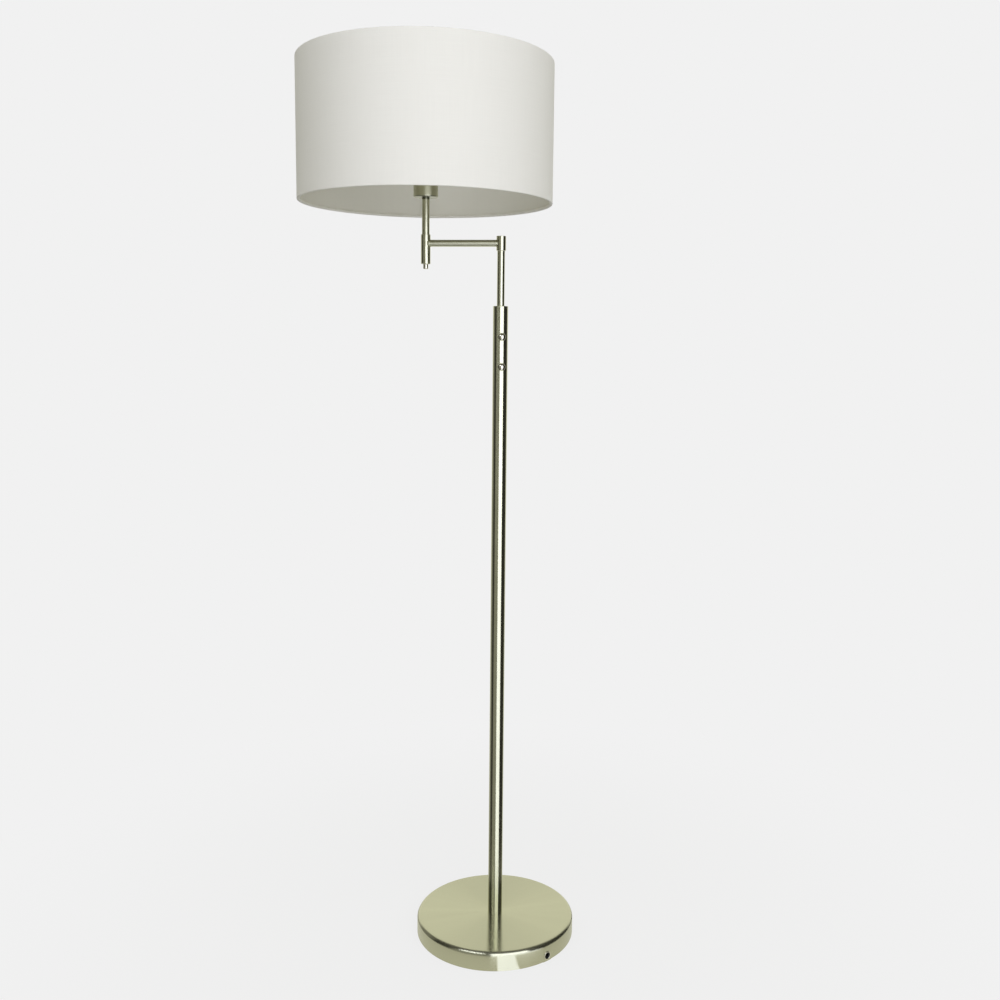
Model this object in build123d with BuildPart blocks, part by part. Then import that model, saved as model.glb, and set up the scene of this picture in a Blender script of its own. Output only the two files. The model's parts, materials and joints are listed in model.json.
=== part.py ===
from build123d import *
import os
from math import acos, atan2, cos, degrees, radians, sin

# Adjustable arm floor lamp, in millimetres. +Z is up and the origin is the centre of the base's
# underside. A weighted round base carries a fixed column. A thinner riser slides in the column and is
# held by two clamp screws. On the riser's top an elbow swivels, and its arm runs along -X to a head
# sleeve, whose stem carries the lampholder and a large drum shade.

# Clearances
FIT_GAP = 0.05          # radial gap between pieces that are pressed, screwed or brazed together
RUN_GAP = 0.1           # radial gap of a running fit
SOFT_GAP = 0.3          # gap between moving pieces that only pass or press each other
STOP_GAP = 0.5          # gap left at each end of the riser's travel

# Base
BASE_D = 280.0
BASE_H = 34.0
BASE_EDGE_R = 7.0
COVER_WALL = 1.2
COVER_LIFT = 1.0        # height of the cover's open rim above the floor
PAD_T = 2.0
PAD_MARGIN = 3.0        # width of the weight's rim that the pad leaves bare
WEIGHT_T = 10.0
WEIGHT_GAP = 0.8        # radial gap between weight and cover
HUB_D = 64.0
HUB_FILLET = 6.0
POCKET_D = 40.0         # pocket for the foot nut, in the weight's underside
POCKET_DEPTH = 18.0
GROOVE_W = 14.0         # slot for the mains cord, from the pocket to the outlet

# Cord outlet in the side of the base
OUTLET_ANGLE = -42.0
OUTLET_Z = 10.5
CORD_HOLE_D = 7.5
BUSH_WALL = 1.8
BUSH_L = 8.0
EYELET_WALL = 0.6
EYELET_LIP = 1.2
EYELET_LIP_T = 0.9
EYELET_L = 4.0

# Foot fixing: hollow M10 nipple, washers and nut
NIPPLE_D = 10.0
NIPPLE_BORE = 7.0
NIPPLE_END = 1.3        # thread left standing past the nut
NIPPLE_GRIP = 16.0      # thread inside the column's foot plug
FOOT_NUT_AF = 17.0
FOOT_NUT_T = 6.0
LOCK_WASHER_D = 18.5
LOCK_WASHER_T = 1.2
LOCK_TEETH = 10
LOCK_TOOTH_GAP = 2.4    # width and depth of the notches between the lock washer's teeth
FOOT_WASHER_D = 30.0
FOOT_WASHER_T = 1.5
FOOT_PLUG_L = 20.0

# Column, guide sleeve and clamp screws
COLUMN_D = 25.4
COLUMN_WALL = 1.2
COLUMN_TOP = 1114.7
GUIDE_FLANGE_T = 1.2
GUIDE_FLANGE_R = 0.8    # rounding of the flange's top edge
GUIDE_L = 123.0
SCREW_ANGLE = -73.5
SCREW_DROP = 51.2       # upper clamp screw below the column's top
SCREW_SPACING = 50.0
SCREW_D = 5.0
SCREW_HOLE_GAP = 0.4    # radial gap of the screw in the column's wall
SCREW_NECK_D = 7.4
SCREW_NECK_L = 0.85
SCREW_HEAD_D = 12.5
SCREW_GRIP_L = 4.0
SCREW_DOME_H = 3.6
SCREW_SEAT_GAP = 0.15   # gap between the screw's neck and the column

# Riser. The stem under the shade is cut from the same tube.
TUBE_D = 12.7
TUBE_WALL = 1.0
RISER_SHOWN = 91.3      # from the column's top to the elbow's underside, at rest
RISE = 250.0            # upward travel of the riser, from rest to its stop
FOOT_BUSH_L = 20.0
FOOT_BUSH_LIP = 2.5
FOOT_BUSH_LIP_W = 2.0   # width of the lip that carries the riser's end

# Swivel between riser and elbow
SPIGOT_L = 14.0         # shank inside the riser
SPIGOT_COLLAR_T = 2.0
JOURNAL_D = 8.0
SPIGOT_BORE = 5.4
WASHER_T = 0.6
SPRING_T = 0.8
SWIVEL_NUT_AF = 10.0
SWIVEL_NUT_T = 3.6
THREAD_END = 0.8

# Arm, elbow sleeve and head sleeve
SLEEVE_WALL = 1.55
ELBOW_L = 23.7
ELBOW_FLOOR = 3.0
CAP_T = 2.4
ARM_RISE = 12.1         # arm's axis above the elbow's underside
ARM_LENGTH = 128.0      # from the riser's axis to the stem's axis
ARM_D = 11.4
HEAD_RISE = 14.3        # head sleeve's top above the arm's axis
HEAD_L = 48.5
HEAD_BORE = 10.4        # wiring bore between the stem's socket and the switch's socket
STEM_SOCKET = 7.2
EDGE_BREAK = 0.3

# Rotary switch in the head sleeve
SWITCH_L = 20.0
SWITCH_BUSH_T = 2.2
SWITCH_BUSH_SET = 0.2   # how far the bush sits inside the sleeve's end
SPINDLE_D = 3.6
SPINDLE_INSERT = 9.0
KNOB_D = 8.4
KNOB_L = 7.9
KNOB_EDGE_R = 1.2
KNOB_GAP = 0.5
KNOB_GRIP = 6.5

# Stem and lampholder
STEM_LENGTH = 60.5      # visible part, from head sleeve to cup
CUP_D = 41.0
CUP_H = 56.0
CUP_WALL = 0.8
CUP_EDGE_R = 2.0
NIPPLE_STEM_L = 12.0
NIPPLE_HOLDER_L = 8.0
HOLDER_GAP = 0.4        # radial gap between cup and lampholder
HOLDER_WALL = 2.2
HOLDER_BASE_WALL = 3.6
HOLDER_BASE_H = 20.0
HOLDER_FLOOR = 2.5
HOLDER_BOSS_D = 16.0
HOLDER_BOSS_H = 10.0
BLOCK_H = 13.0
HOLDER_FLANGE_T = 1.6
HOLDER_THREAD_H = 12.0  # threaded rim that stands above the flange
CONTACT_SHELL_BORE = 27.0
CONTACT_SHELL_WALL = 0.6
CONTACT_SHELL_H = 18.0
CONTACT_W = 6.0
CONTACT_T = 0.5
CONTACT_REACH = 9.0     # from the bulb's axis to the contact's riveted end
CONTACT_LIFT = 3.0

# Bulb
BULB_D = 60.0
BULB_L = 105.0
BULB_CAP_D = 26.2
BULB_CAP_H = 25.5
BULB_TIP_D = 9.0
BULB_TIP_H = 1.5
BULB_CONE_H = 7.0       # height of the insulated cone, from the tip to the threaded shell
BULB_NECK_D = 25.6
BULB_WALL = 0.9

# Shade carrier and shade
RING_GAP = 0.6          # radial gap between carrier ring and lampholder thread
RING_WIDTH = 10.0
RING_T = 2.0
RING_NUT_D = 53.0
RING_NUT_T = 8.0
RING_NUT_FLUTES = 24
FLUTE_D = 2.4
ARM_COUNT = 3
FIRST_ARM_ANGLE = 90.0
WIRE_D = 3.0
WIRE_STUB = 8.0         # straight wire beside the ring, before the bend
WIRE_BEND_R = 6.0
WIRE_UPRIGHT = 14.0     # upright end welded beside the top ring
RIM_WIRE_D = 3.5
SHADE_D = 424.0
SHADE_H = 224.6
SHADE_WALL = 1.0
SHADE_DROP = 9.5        # shade's lower rim below the cup's underside
HEM_T = 0.4
HEM_NOTCH = 7.0         # width of the notch in the upper hem at each carrier wire

# Heights and radii that follow from the sizes above
cover_r = BASE_D / 2
bush_r = CORD_HOLE_D / 2 + BUSH_WALL
eyelet_bore_r = bush_r + FIT_GAP
eyelet_r = eyelet_bore_r + EYELET_WALL
weight_d = BASE_D - 2 * (COVER_WALL + WEIGHT_GAP)
cover_underside = BASE_H - COVER_WALL
pocket_roof = PAD_T + POCKET_DEPTH
foot_washer_z = pocket_roof - FOOT_WASHER_T
lock_washer_z = foot_washer_z - LOCK_WASHER_T
foot_nut_z = lock_washer_z - FOOT_NUT_T
column_bore = COLUMN_D - 2 * COLUMN_WALL
column_tube_top = COLUMN_TOP - GUIDE_FLANGE_T
guide_bottom = COLUMN_TOP - GUIDE_L
upper_screw_z = COLUMN_TOP - SCREW_DROP
lower_screw_z = upper_screw_z - SCREW_SPACING
tube_bore = TUBE_D - 2 * TUBE_WALL
elbow_bottom = COLUMN_TOP + RISER_SHOWN
riser_top = elbow_bottom - WASHER_T - SPIGOT_COLLAR_T
foot_bush_top = guide_bottom - RISE - STOP_GAP
foot_bush_bottom = foot_bush_top - FOOT_BUSH_L
elbow_inside = elbow_bottom + ELBOW_FLOOR
elbow_top = elbow_bottom + ELBOW_L
sleeve_bore = TUBE_D + 2 * FIT_GAP
sleeve_d = sleeve_bore + 2 * SLEEVE_WALL
arm_z = elbow_bottom + ARM_RISE
arm_bore = ARM_D - 2 * TUBE_WALL
head_top = arm_z + HEAD_RISE
head_bottom = head_top - HEAD_L
stem_foot = head_top - STEM_SOCKET
switch_foot = head_bottom + SWITCH_BUSH_SET + SWITCH_BUSH_T
switch_top = switch_foot + SWITCH_L
knob_top = head_bottom - KNOB_GAP
cup_bottom = head_top + STEM_LENGTH
cup_floor = cup_bottom + CUP_WALL
cup_top = cup_bottom + CUP_H
holder_d = CUP_D - 2 * (CUP_WALL + HOLDER_GAP)
holder_bore = holder_d - 2 * HOLDER_WALL
nipple_stem_d = tube_bore - 2 * FIT_GAP
holder_base_top = cup_floor + HOLDER_BASE_H
holder_top = cup_top + HOLDER_FLANGE_T + HOLDER_THREAD_H
block_top = holder_base_top + BLOCK_H
bulb_foot = block_top + CONTACT_LIFT + CONTACT_T / 2 + FIT_GAP
bulb_cap_top = bulb_foot + BULB_CAP_H
ring_bottom = cup_top + HOLDER_FLANGE_T
ring_bore_r = holder_d / 2 + RING_GAP
ring_edge_r = ring_bore_r + RING_WIDTH
shade_bottom = cup_bottom - SHADE_DROP
shade_top = shade_bottom + SHADE_H
shade_inner_r = SHADE_D / 2 - SHADE_WALL
rim_wire_r = shade_inner_r - FIT_GAP - RIM_WIRE_D / 2
rim_inset = HEM_T + FIT_GAP + RIM_WIRE_D / 2

# The stand's vertical axis is the origin's; the head's stands at the end of the arm
STAND = Plane.XY
HEAD = Plane(origin=(-ARM_LENGTH, 0, 0))
UP = (0, 0, 1)


def radial_plane(angle, height):
    """A plane across the line that leaves the column's axis at an angle, in degrees."""
    outward = (cos(radians(angle)), sin(radians(angle)), 0)
    return Plane(origin=(0, 0, height), x_dir=UP, z_dir=outward)


def side_plane(foot, angle=0.0, height=0.0):
    """The upright plane through a vertical axis: its x points outward at an angle, its y up."""
    outward = (cos(radians(angle)), sin(radians(angle)), 0)
    across = (sin(radians(angle)), -cos(radians(angle)), 0)
    return Plane(origin=foot.origin + Vector(0, 0, height), x_dir=outward, z_dir=across)


def turned(side, outline, axis):
    """A turned piece: a closed outline drawn in an upright plane and spun round an axis."""
    with BuildPart() as piece:
        with BuildSketch(side):
            with BuildLine():
                Polyline(*outline, close=True)
            make_face()
        revolve(axis=axis)
    return piece


def round_bar(foot, diameter, bottom, top, bore=0.0):
    """A round bar, washer or tube between two heights on the vertical axis of a plane."""
    with BuildPart() as piece:
        with BuildSketch(foot.offset(bottom)):
            Circle(diameter / 2)
            if bore:
                Circle(bore / 2, mode=Mode.SUBTRACT)
        extrude(amount=top - bottom)
    return piece


def dome_radius(width, height):
    """The radius of the arc that rises to a height over half of a width."""
    return (width**2 / 4 + height**2) / (2 * height)


def hex_nut(foot, across_flats, bore, bottom, top):
    """A hexagon nut whose corners are turned off to the across-flats circle on both faces."""
    corner_r = across_flats / 2 / cos(radians(30))
    with BuildPart() as blank:
        with BuildSketch(foot.offset(bottom)):
            Circle(corner_r)
        extrude(amount=top - bottom)
        chamfer(blank.edges(), corner_r - across_flats / 2)
    with BuildPart() as piece:
        with BuildSketch(foot.offset(bottom)):
            RegularPolygon(corner_r, 6)
            Circle(bore / 2, mode=Mode.SUBTRACT)
        extrude(amount=top - bottom)
        add(blank.part, mode=Mode.INTERSECT)
    return piece


# ---------------------------------------------------------------- base

with BuildPart() as base_cover:
    with BuildSketch(Plane.XY.offset(COVER_LIFT)):
        Circle(BASE_D / 2)
    extrude(amount=BASE_H - COVER_LIFT)
    fillet(base_cover.edges().group_by(Axis.Z)[-1], BASE_EDGE_R)
    offset(amount=-COVER_WALL, openings=base_cover.faces().sort_by(Axis.Z)[0])
    Hole(NIPPLE_D / 2 + FIT_GAP)
    with BuildSketch(radial_plane(OUTLET_ANGLE, OUTLET_Z)):
        Circle(eyelet_r + FIT_GAP)
    extrude(amount=BASE_D, mode=Mode.SUBTRACT)

with BuildPart() as base_weight:
    with BuildSketch(Plane.XY.offset(PAD_T)):
        Circle(weight_d / 2)
    extrude(amount=WEIGHT_T)
    with BuildSketch(Plane.XY.offset(PAD_T + WEIGHT_T)):
        Circle(HUB_D / 2)
    extrude(amount=cover_underside - PAD_T - WEIGHT_T)
    disc_face = base_weight.faces().filter_by(Axis.Z).sort_by(Axis.Z)[1]
    fillet(disc_face.inner_wires().edges(), HUB_FILLET)
    with BuildSketch(Plane.XY.offset(PAD_T)):
        Circle(POCKET_D / 2)
    extrude(amount=POCKET_DEPTH, mode=Mode.SUBTRACT)
    Hole(NIPPLE_D / 2 + WEIGHT_GAP)
    with BuildSketch(Plane.XY.rotated((0, 0, OUTLET_ANGLE)).offset(PAD_T)):
        Rectangle(BASE_D, GROOVE_W, align=(Align.MIN, Align.CENTER))
    extrude(amount=WEIGHT_T, mode=Mode.SUBTRACT)

base_pad = round_bar(STAND, weight_d - 2 * PAD_MARGIN, 0, PAD_T)

# Cord outlet: a metal eyelet through the cover's side, with a plastic bush inside it
lip_back = cover_r + FIT_GAP
lip_shoulder = cover_r + EYELET_LIP_T / 2
outlet_side = side_plane(STAND, OUTLET_ANGLE, OUTLET_Z)
outlet_axis = Axis(outlet_side.origin, outlet_side.x_dir)

with BuildPart() as outlet_eyelet:
    with BuildSketch(outlet_side):
        with BuildLine():
            Polyline(
                (lip_shoulder, eyelet_bore_r),
                (cover_r - EYELET_L, eyelet_bore_r),
                (cover_r - EYELET_L, eyelet_r),
                (lip_back, eyelet_r),
                (lip_back, eyelet_r + EYELET_LIP),
                (lip_shoulder, eyelet_r + EYELET_LIP),
            )
            ThreePointArc(
                (lip_shoulder, eyelet_r + EYELET_LIP),
                (cover_r + EYELET_LIP_T, (eyelet_bore_r + eyelet_r + EYELET_LIP) / 2),
                (lip_shoulder, eyelet_bore_r),
            )
        make_face()
    revolve(axis=outlet_axis)

cord_bush = turned(
    outlet_side,
    [
        (cover_r - BUSH_L, CORD_HOLE_D / 2),
        (cover_r - BUSH_L, bush_r),
        (cover_r, bush_r),
        (cover_r, CORD_HOLE_D / 2),
    ],
    outlet_axis,
)

# Foot fixing: the hollow nipple screws into the column's foot plug and is pulled down by its nut
foot_nipple = round_bar(STAND, NIPPLE_D, foot_nut_z - NIPPLE_END, BASE_H + NIPPLE_GRIP, NIPPLE_BORE)
foot_nut = hex_nut(STAND, FOOT_NUT_AF, NIPPLE_D + 2 * FIT_GAP, foot_nut_z, lock_washer_z)
foot_washer = round_bar(STAND, FOOT_WASHER_D, foot_washer_z, pocket_roof, NIPPLE_D + 2 * SOFT_GAP)

with BuildPart() as foot_lock_washer:
    with BuildSketch(Plane.XY.offset(lock_washer_z)):
        Circle(LOCK_WASHER_D / 2)
        Circle(NIPPLE_D / 2 + SOFT_GAP, mode=Mode.SUBTRACT)
        with PolarLocations(LOCK_WASHER_D / 2, LOCK_TEETH):
            Rectangle(LOCK_TOOTH_GAP, LOCK_TOOTH_GAP, mode=Mode.SUBTRACT)
    extrude(amount=LOCK_WASHER_T)

column_foot_plug = round_bar(
    STAND, column_bore - 2 * FIT_GAP, BASE_H, BASE_H + FOOT_PLUG_L, NIPPLE_D + 2 * FIT_GAP
)

# ---------------------------------------------------------------- column

with BuildPart() as column_tube:
    with BuildSketch(Plane.XY.offset(BASE_H)):
        Circle(COLUMN_D / 2)
        Circle(column_bore / 2, mode=Mode.SUBTRACT)
    extrude(amount=column_tube_top - BASE_H)
    for height in (upper_screw_z, lower_screw_z):
        with BuildSketch(radial_plane(SCREW_ANGLE, height)):
            Circle(SCREW_D / 2 + SCREW_HOLE_GAP)
        extrude(amount=COLUMN_D, mode=Mode.SUBTRACT)

with BuildPart() as guide_sleeve:
    with BuildSketch(Plane.XY.offset(guide_bottom)):
        Circle(column_bore / 2 - FIT_GAP)
    extrude(amount=GUIDE_L)
    with BuildSketch(Plane.XY.offset(column_tube_top)):
        Circle(COLUMN_D / 2)
    extrude(amount=GUIDE_FLANGE_T)
    fillet(guide_sleeve.edges().group_by(Axis.Z)[-1], GUIDE_FLANGE_R)
    with Locations((0, 0, COLUMN_TOP)):
        Hole(TUBE_D / 2 + RUN_GAP)
    for height in (upper_screw_z, lower_screw_z):
        with BuildSketch(radial_plane(SCREW_ANGLE, height)):
            Circle(SCREW_D / 2 + FIT_GAP)
        extrude(amount=COLUMN_D, mode=Mode.SUBTRACT)


def clamp_screw(height):
    """A domed thumb screw through the column's wall, its tip just clear of the riser."""
    side = side_plane(STAND, SCREW_ANGLE, height)
    tip = TUBE_D / 2 + SOFT_GAP
    neck = COLUMN_D / 2 + SCREW_SEAT_GAP
    head = neck + SCREW_NECK_L
    dome = head + SCREW_GRIP_L
    with BuildPart() as piece:
        with BuildSketch(side):
            with BuildLine():
                Polyline(
                    (dome + SCREW_DOME_H, 0),
                    (tip, 0),
                    (tip, SCREW_D / 2 - EDGE_BREAK),
                    (tip + EDGE_BREAK, SCREW_D / 2),
                    (neck, SCREW_D / 2),
                    (neck, SCREW_NECK_D / 2),
                    (head, SCREW_NECK_D / 2),
                    (head, SCREW_HEAD_D / 2 - EDGE_BREAK),
                    (head + EDGE_BREAK, SCREW_HEAD_D / 2),
                    (dome, SCREW_HEAD_D / 2),
                )
                RadiusArc(
                    (dome, SCREW_HEAD_D / 2),
                    (dome + SCREW_DOME_H, 0),
                    dome_radius(SCREW_HEAD_D, SCREW_DOME_H),
                )
            make_face()
        revolve(axis=Axis(side.origin, side.x_dir))
    return piece


clamp_screw_upper = clamp_screw(upper_screw_z)
clamp_screw_lower = clamp_screw(lower_screw_z)

# ---------------------------------------------------------------- riser and swivel

riser_tube = round_bar(STAND, TUBE_D, foot_bush_bottom + FOOT_BUSH_LIP, riser_top, tube_bore)

with BuildPart() as riser_foot_bush:
    with BuildSketch(Plane.XY.offset(foot_bush_bottom)):
        Circle(column_bore / 2 - RUN_GAP)
    extrude(amount=FOOT_BUSH_L)
    chamfer(riser_foot_bush.edges(), EDGE_BREAK)
    with Locations((0, 0, foot_bush_top)):
        Hole(TUBE_D / 2 - FOOT_BUSH_LIP_W)
    with BuildSketch(Plane.XY.offset(foot_bush_bottom + FOOT_BUSH_LIP)):
        Circle(TUBE_D / 2 + FIT_GAP)
    extrude(amount=FOOT_BUSH_L, mode=Mode.SUBTRACT)

spigot_end = elbow_inside + SPRING_T + SWIVEL_NUT_T + THREAD_END
riser_spigot = turned(
    side_plane(STAND),
    [
        (SPIGOT_BORE / 2, riser_top - SPIGOT_L),
        (tube_bore / 2 - FIT_GAP, riser_top - SPIGOT_L),
        (tube_bore / 2 - FIT_GAP, riser_top),
        (TUBE_D / 2, riser_top),
        (TUBE_D / 2, riser_top + SPIGOT_COLLAR_T),
        (JOURNAL_D / 2, riser_top + SPIGOT_COLLAR_T),
        (JOURNAL_D / 2, spigot_end),
        (SPIGOT_BORE / 2, spigot_end),
    ],
    Axis.Z,
)
swivel_washer = round_bar(
    STAND, TUBE_D, riser_top + SPIGOT_COLLAR_T, elbow_bottom, JOURNAL_D + 2 * RUN_GAP
)
swivel_spring = round_bar(
    STAND, sleeve_bore - 2 * SOFT_GAP, elbow_inside, elbow_inside + SPRING_T, JOURNAL_D + 2 * RUN_GAP
)
swivel_nut = hex_nut(
    STAND,
    SWIVEL_NUT_AF,
    JOURNAL_D + 2 * FIT_GAP,
    elbow_inside + SPRING_T,
    elbow_inside + SPRING_T + SWIVEL_NUT_T,
)

# ---------------------------------------------------------------- arm


def arm_socket(foot, outward):
    """The plane of an arm's end on a vertical axis, looking along the arm away from that axis."""
    return Plane(origin=foot.origin + Vector(0, 0, arm_z), x_dir=(0, 1, 0), z_dir=(outward, 0, 0))


with BuildPart() as elbow_sleeve:
    with BuildSketch(Plane.XY.offset(elbow_bottom)):
        Circle(sleeve_d / 2)
    extrude(amount=ELBOW_L)
    chamfer(elbow_sleeve.edges(), EDGE_BREAK)
    with BuildSketch(Plane.XY.offset(elbow_inside)):
        Circle(sleeve_bore / 2)
    extrude(amount=ELBOW_L, mode=Mode.SUBTRACT)
    with Locations((0, 0, elbow_inside)):
        Hole(JOURNAL_D / 2 + RUN_GAP)
    with BuildSketch(arm_socket(STAND, -1)):
        Circle(ARM_D / 2 + FIT_GAP)
    extrude(amount=sleeve_d, mode=Mode.SUBTRACT)

elbow_cap = round_bar(STAND, sleeve_bore - 2 * FIT_GAP, elbow_top - CAP_T, elbow_top)

with BuildPart() as arm_tube:
    with BuildSketch(arm_socket(STAND, -1)):
        Circle(ARM_D / 2)
        Circle(arm_bore / 2, mode=Mode.SUBTRACT)
    extrude(amount=ARM_LENGTH)
    for foot, bore in ((STAND, sleeve_bore), (HEAD, HEAD_BORE)):
        with BuildSketch(foot.offset(arm_z - ARM_D)):
            Circle(bore / 2)
        extrude(amount=2 * ARM_D, mode=Mode.SUBTRACT)

with BuildPart() as head_sleeve:
    with BuildSketch(HEAD.offset(head_bottom)):
        Circle(sleeve_d / 2)
    extrude(amount=HEAD_L)
    chamfer(head_sleeve.edges(), EDGE_BREAK)
    for height, depth, bore in (
        (head_bottom, HEAD_L, HEAD_BORE),
        (head_bottom, switch_top - head_bottom, sleeve_bore),
        (stem_foot, STEM_SOCKET, sleeve_bore),
    ):
        with BuildSketch(HEAD.offset(height)):
            Circle(bore / 2)
        extrude(amount=depth, mode=Mode.SUBTRACT)
    with BuildSketch(arm_socket(HEAD, 1)):
        Circle(ARM_D / 2 + FIT_GAP)
    extrude(amount=sleeve_d, mode=Mode.SUBTRACT)

# ---------------------------------------------------------------- rotary switch

socket_fit_d = sleeve_bore - 2 * FIT_GAP
switch_bush = round_bar(
    HEAD, socket_fit_d, switch_foot - SWITCH_BUSH_T, switch_foot, SPINDLE_D + 2 * RUN_GAP
)

with BuildPart() as switch_body:
    with BuildSketch(HEAD.offset(switch_foot)):
        Circle(socket_fit_d / 2)
    extrude(amount=SWITCH_L)
    with BuildSketch(HEAD.offset(switch_foot)):
        Circle(SPINDLE_D / 2 + RUN_GAP)
    extrude(amount=SPINDLE_INSERT + SOFT_GAP, mode=Mode.SUBTRACT)

switch_spindle = round_bar(HEAD, SPINDLE_D, knob_top - KNOB_GRIP, switch_foot + SPINDLE_INSERT)

with BuildPart() as switch_knob:
    with BuildSketch(HEAD.offset(knob_top - KNOB_L)):
        Circle(KNOB_D / 2)
    extrude(amount=KNOB_L)
    fillet(switch_knob.edges().group_by(Axis.Z)[0], KNOB_EDGE_R)
    chamfer(switch_knob.edges().group_by(Axis.Z)[-1], EDGE_BREAK)
    with BuildSketch(HEAD.offset(knob_top)):
        Circle(SPINDLE_D / 2 + FIT_GAP)
    extrude(amount=-KNOB_GRIP, mode=Mode.SUBTRACT)

# ---------------------------------------------------------------- stem and lampholder

stem_tube = round_bar(HEAD, TUBE_D, stem_foot, cup_bottom, tube_bore)
stem_nipple = round_bar(
    HEAD, nipple_stem_d, cup_bottom - NIPPLE_STEM_L, cup_floor + NIPPLE_HOLDER_L, NIPPLE_BORE
)

with BuildPart() as holder_cup:
    with BuildSketch(HEAD.offset(cup_bottom)):
        Circle(CUP_D / 2)
    extrude(amount=CUP_H)
    fillet(holder_cup.edges().group_by(Axis.Z)[0], CUP_EDGE_R)
    offset(amount=-CUP_WALL, openings=holder_cup.faces().sort_by(Axis.Z)[-1])
    with BuildSketch(HEAD.offset(cup_bottom)):
        Circle(nipple_stem_d / 2 + FIT_GAP)
    extrude(amount=CUP_WALL, mode=Mode.SUBTRACT)

holder_axis = Axis(HEAD.origin, UP)
base_bore = holder_d / 2 - HOLDER_BASE_WALL
holder_base = turned(
    side_plane(HEAD),
    [
        (nipple_stem_d / 2 + FIT_GAP, cup_floor),
        (holder_d / 2 - CUP_EDGE_R, cup_floor),
        (holder_d / 2, cup_floor + CUP_EDGE_R),
        (holder_d / 2, holder_base_top),
        (base_bore, holder_base_top),
        (base_bore, cup_floor + HOLDER_FLOOR),
        (HOLDER_BOSS_D / 2, cup_floor + HOLDER_FLOOR),
        (HOLDER_BOSS_D / 2, cup_floor + HOLDER_BOSS_H),
        (nipple_stem_d / 2 + FIT_GAP, cup_floor + HOLDER_BOSS_H),
    ],
    holder_axis,
)
holder_skirt = turned(
    side_plane(HEAD),
    [
        (holder_bore / 2, holder_base_top),
        (holder_d / 2, holder_base_top),
        (holder_d / 2, cup_top),
        (CUP_D / 2, cup_top),
        (CUP_D / 2, ring_bottom),
        (holder_d / 2, ring_bottom),
        (holder_d / 2, holder_top),
        (holder_bore / 2, holder_top),
    ],
    holder_axis,
)
contact_block = round_bar(HEAD, holder_bore - 2 * FIT_GAP, holder_base_top, block_top)
contact_shell = round_bar(
    HEAD,
    CONTACT_SHELL_BORE + 2 * CONTACT_SHELL_WALL,
    block_top,
    block_top + CONTACT_SHELL_H,
    CONTACT_SHELL_BORE,
)

with BuildPart() as centre_contact:
    with BuildSketch(side_plane(HEAD, height=block_top)):
        with BuildLine():
            Polyline(
                (-CONTACT_REACH, CONTACT_T / 2),
                (-CONTACT_REACH / 2, CONTACT_T / 2),
                (-CONTACT_LIFT / 2, CONTACT_LIFT),
                (CONTACT_LIFT, CONTACT_LIFT),
            )
        trace(line_width=CONTACT_T)
    extrude(amount=CONTACT_W / 2, both=True)

# ---------------------------------------------------------------- bulb

bulb_cap = turned(
    side_plane(HEAD),
    [
        (0, bulb_foot),
        (BULB_TIP_D / 2, bulb_foot),
        (BULB_TIP_D / 2, bulb_foot + BULB_TIP_H),
        (BULB_CAP_D / 2, bulb_foot + BULB_CONE_H),
        (BULB_CAP_D / 2, bulb_cap_top),
        (0, bulb_cap_top),
    ],
    holder_axis,
)

# The glass is a ball whose sides run down, tangent to it, to the neck
ball_r = BULB_D / 2
ball_z = bulb_foot + BULB_L - ball_r
neck = Vector(BULB_NECK_D / 2, bulb_cap_top)
to_neck = neck - Vector(0, ball_z)
touch_angle = degrees(atan2(to_neck.Y, to_neck.X)) + degrees(acos(ball_r / to_neck.length))
touch = (ball_r * cos(radians(touch_angle)), ball_z + ball_r * sin(radians(touch_angle)))

with BuildPart() as bulb_glass:
    with BuildSketch(side_plane(HEAD)):
        with BuildLine():
            Line((0, ball_z + ball_r), (0, bulb_cap_top))
            Line((0, bulb_cap_top), (neck.X, neck.Y))
            Line((neck.X, neck.Y), touch)
            ThreePointArc(touch, (ball_r, ball_z), (0, ball_z + ball_r))
        make_face()
    revolve(axis=holder_axis)
    offset(amount=-BULB_WALL, openings=bulb_glass.faces().sort_by(Axis.Z)[0])

# ---------------------------------------------------------------- shade carrier

carrier_ring = round_bar(HEAD, 2 * ring_edge_r, ring_bottom, ring_bottom + RING_T, 2 * ring_bore_r)

with BuildPart() as shade_ring_nut:
    with BuildSketch(HEAD.offset(ring_bottom + RING_T)):
        Circle(RING_NUT_D / 2)
        Circle(holder_d / 2 + FIT_GAP, mode=Mode.SUBTRACT)
        with PolarLocations(RING_NUT_D / 2, RING_NUT_FLUTES):
            Circle(FLUTE_D / 2, mode=Mode.SUBTRACT)
    extrude(amount=RING_NUT_T)

wire_z = ring_bottom + RING_T / 2
wire_end_r = rim_wire_r - RIM_WIRE_D / 2 - WIRE_D / 2 - FIT_GAP
wire_top = shade_top - HEM_T - FIT_GAP
wire_angles = [FIRST_ARM_ANGLE + 360 * index / ARM_COUNT for index in range(ARM_COUNT)]

with BuildPart() as carrier_wires:
    for angle in wire_angles:
        with BuildLine(side_plane(HEAD, angle)) as wire_path:
            FilletPolyline(
                (ring_edge_r + FIT_GAP, wire_z),
                (ring_edge_r + WIRE_STUB, wire_z),
                (wire_end_r, wire_top - WIRE_UPRIGHT),
                (wire_end_r, wire_top),
                radius=WIRE_BEND_R,
            )
        with BuildSketch(Plane(origin=wire_path.line @ 0, z_dir=wire_path.line % 0)):
            Circle(WIRE_D / 2)
        sweep(path=wire_path.line)

# ---------------------------------------------------------------- shade


def rim_wire(height):
    """One of the shade's two wire hoops."""
    with BuildPart() as piece:
        with BuildSketch(side_plane(HEAD)):
            with Locations((rim_wire_r, height)):
                Circle(RIM_WIRE_D / 2)
        revolve(axis=holder_axis)
    return piece


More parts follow.
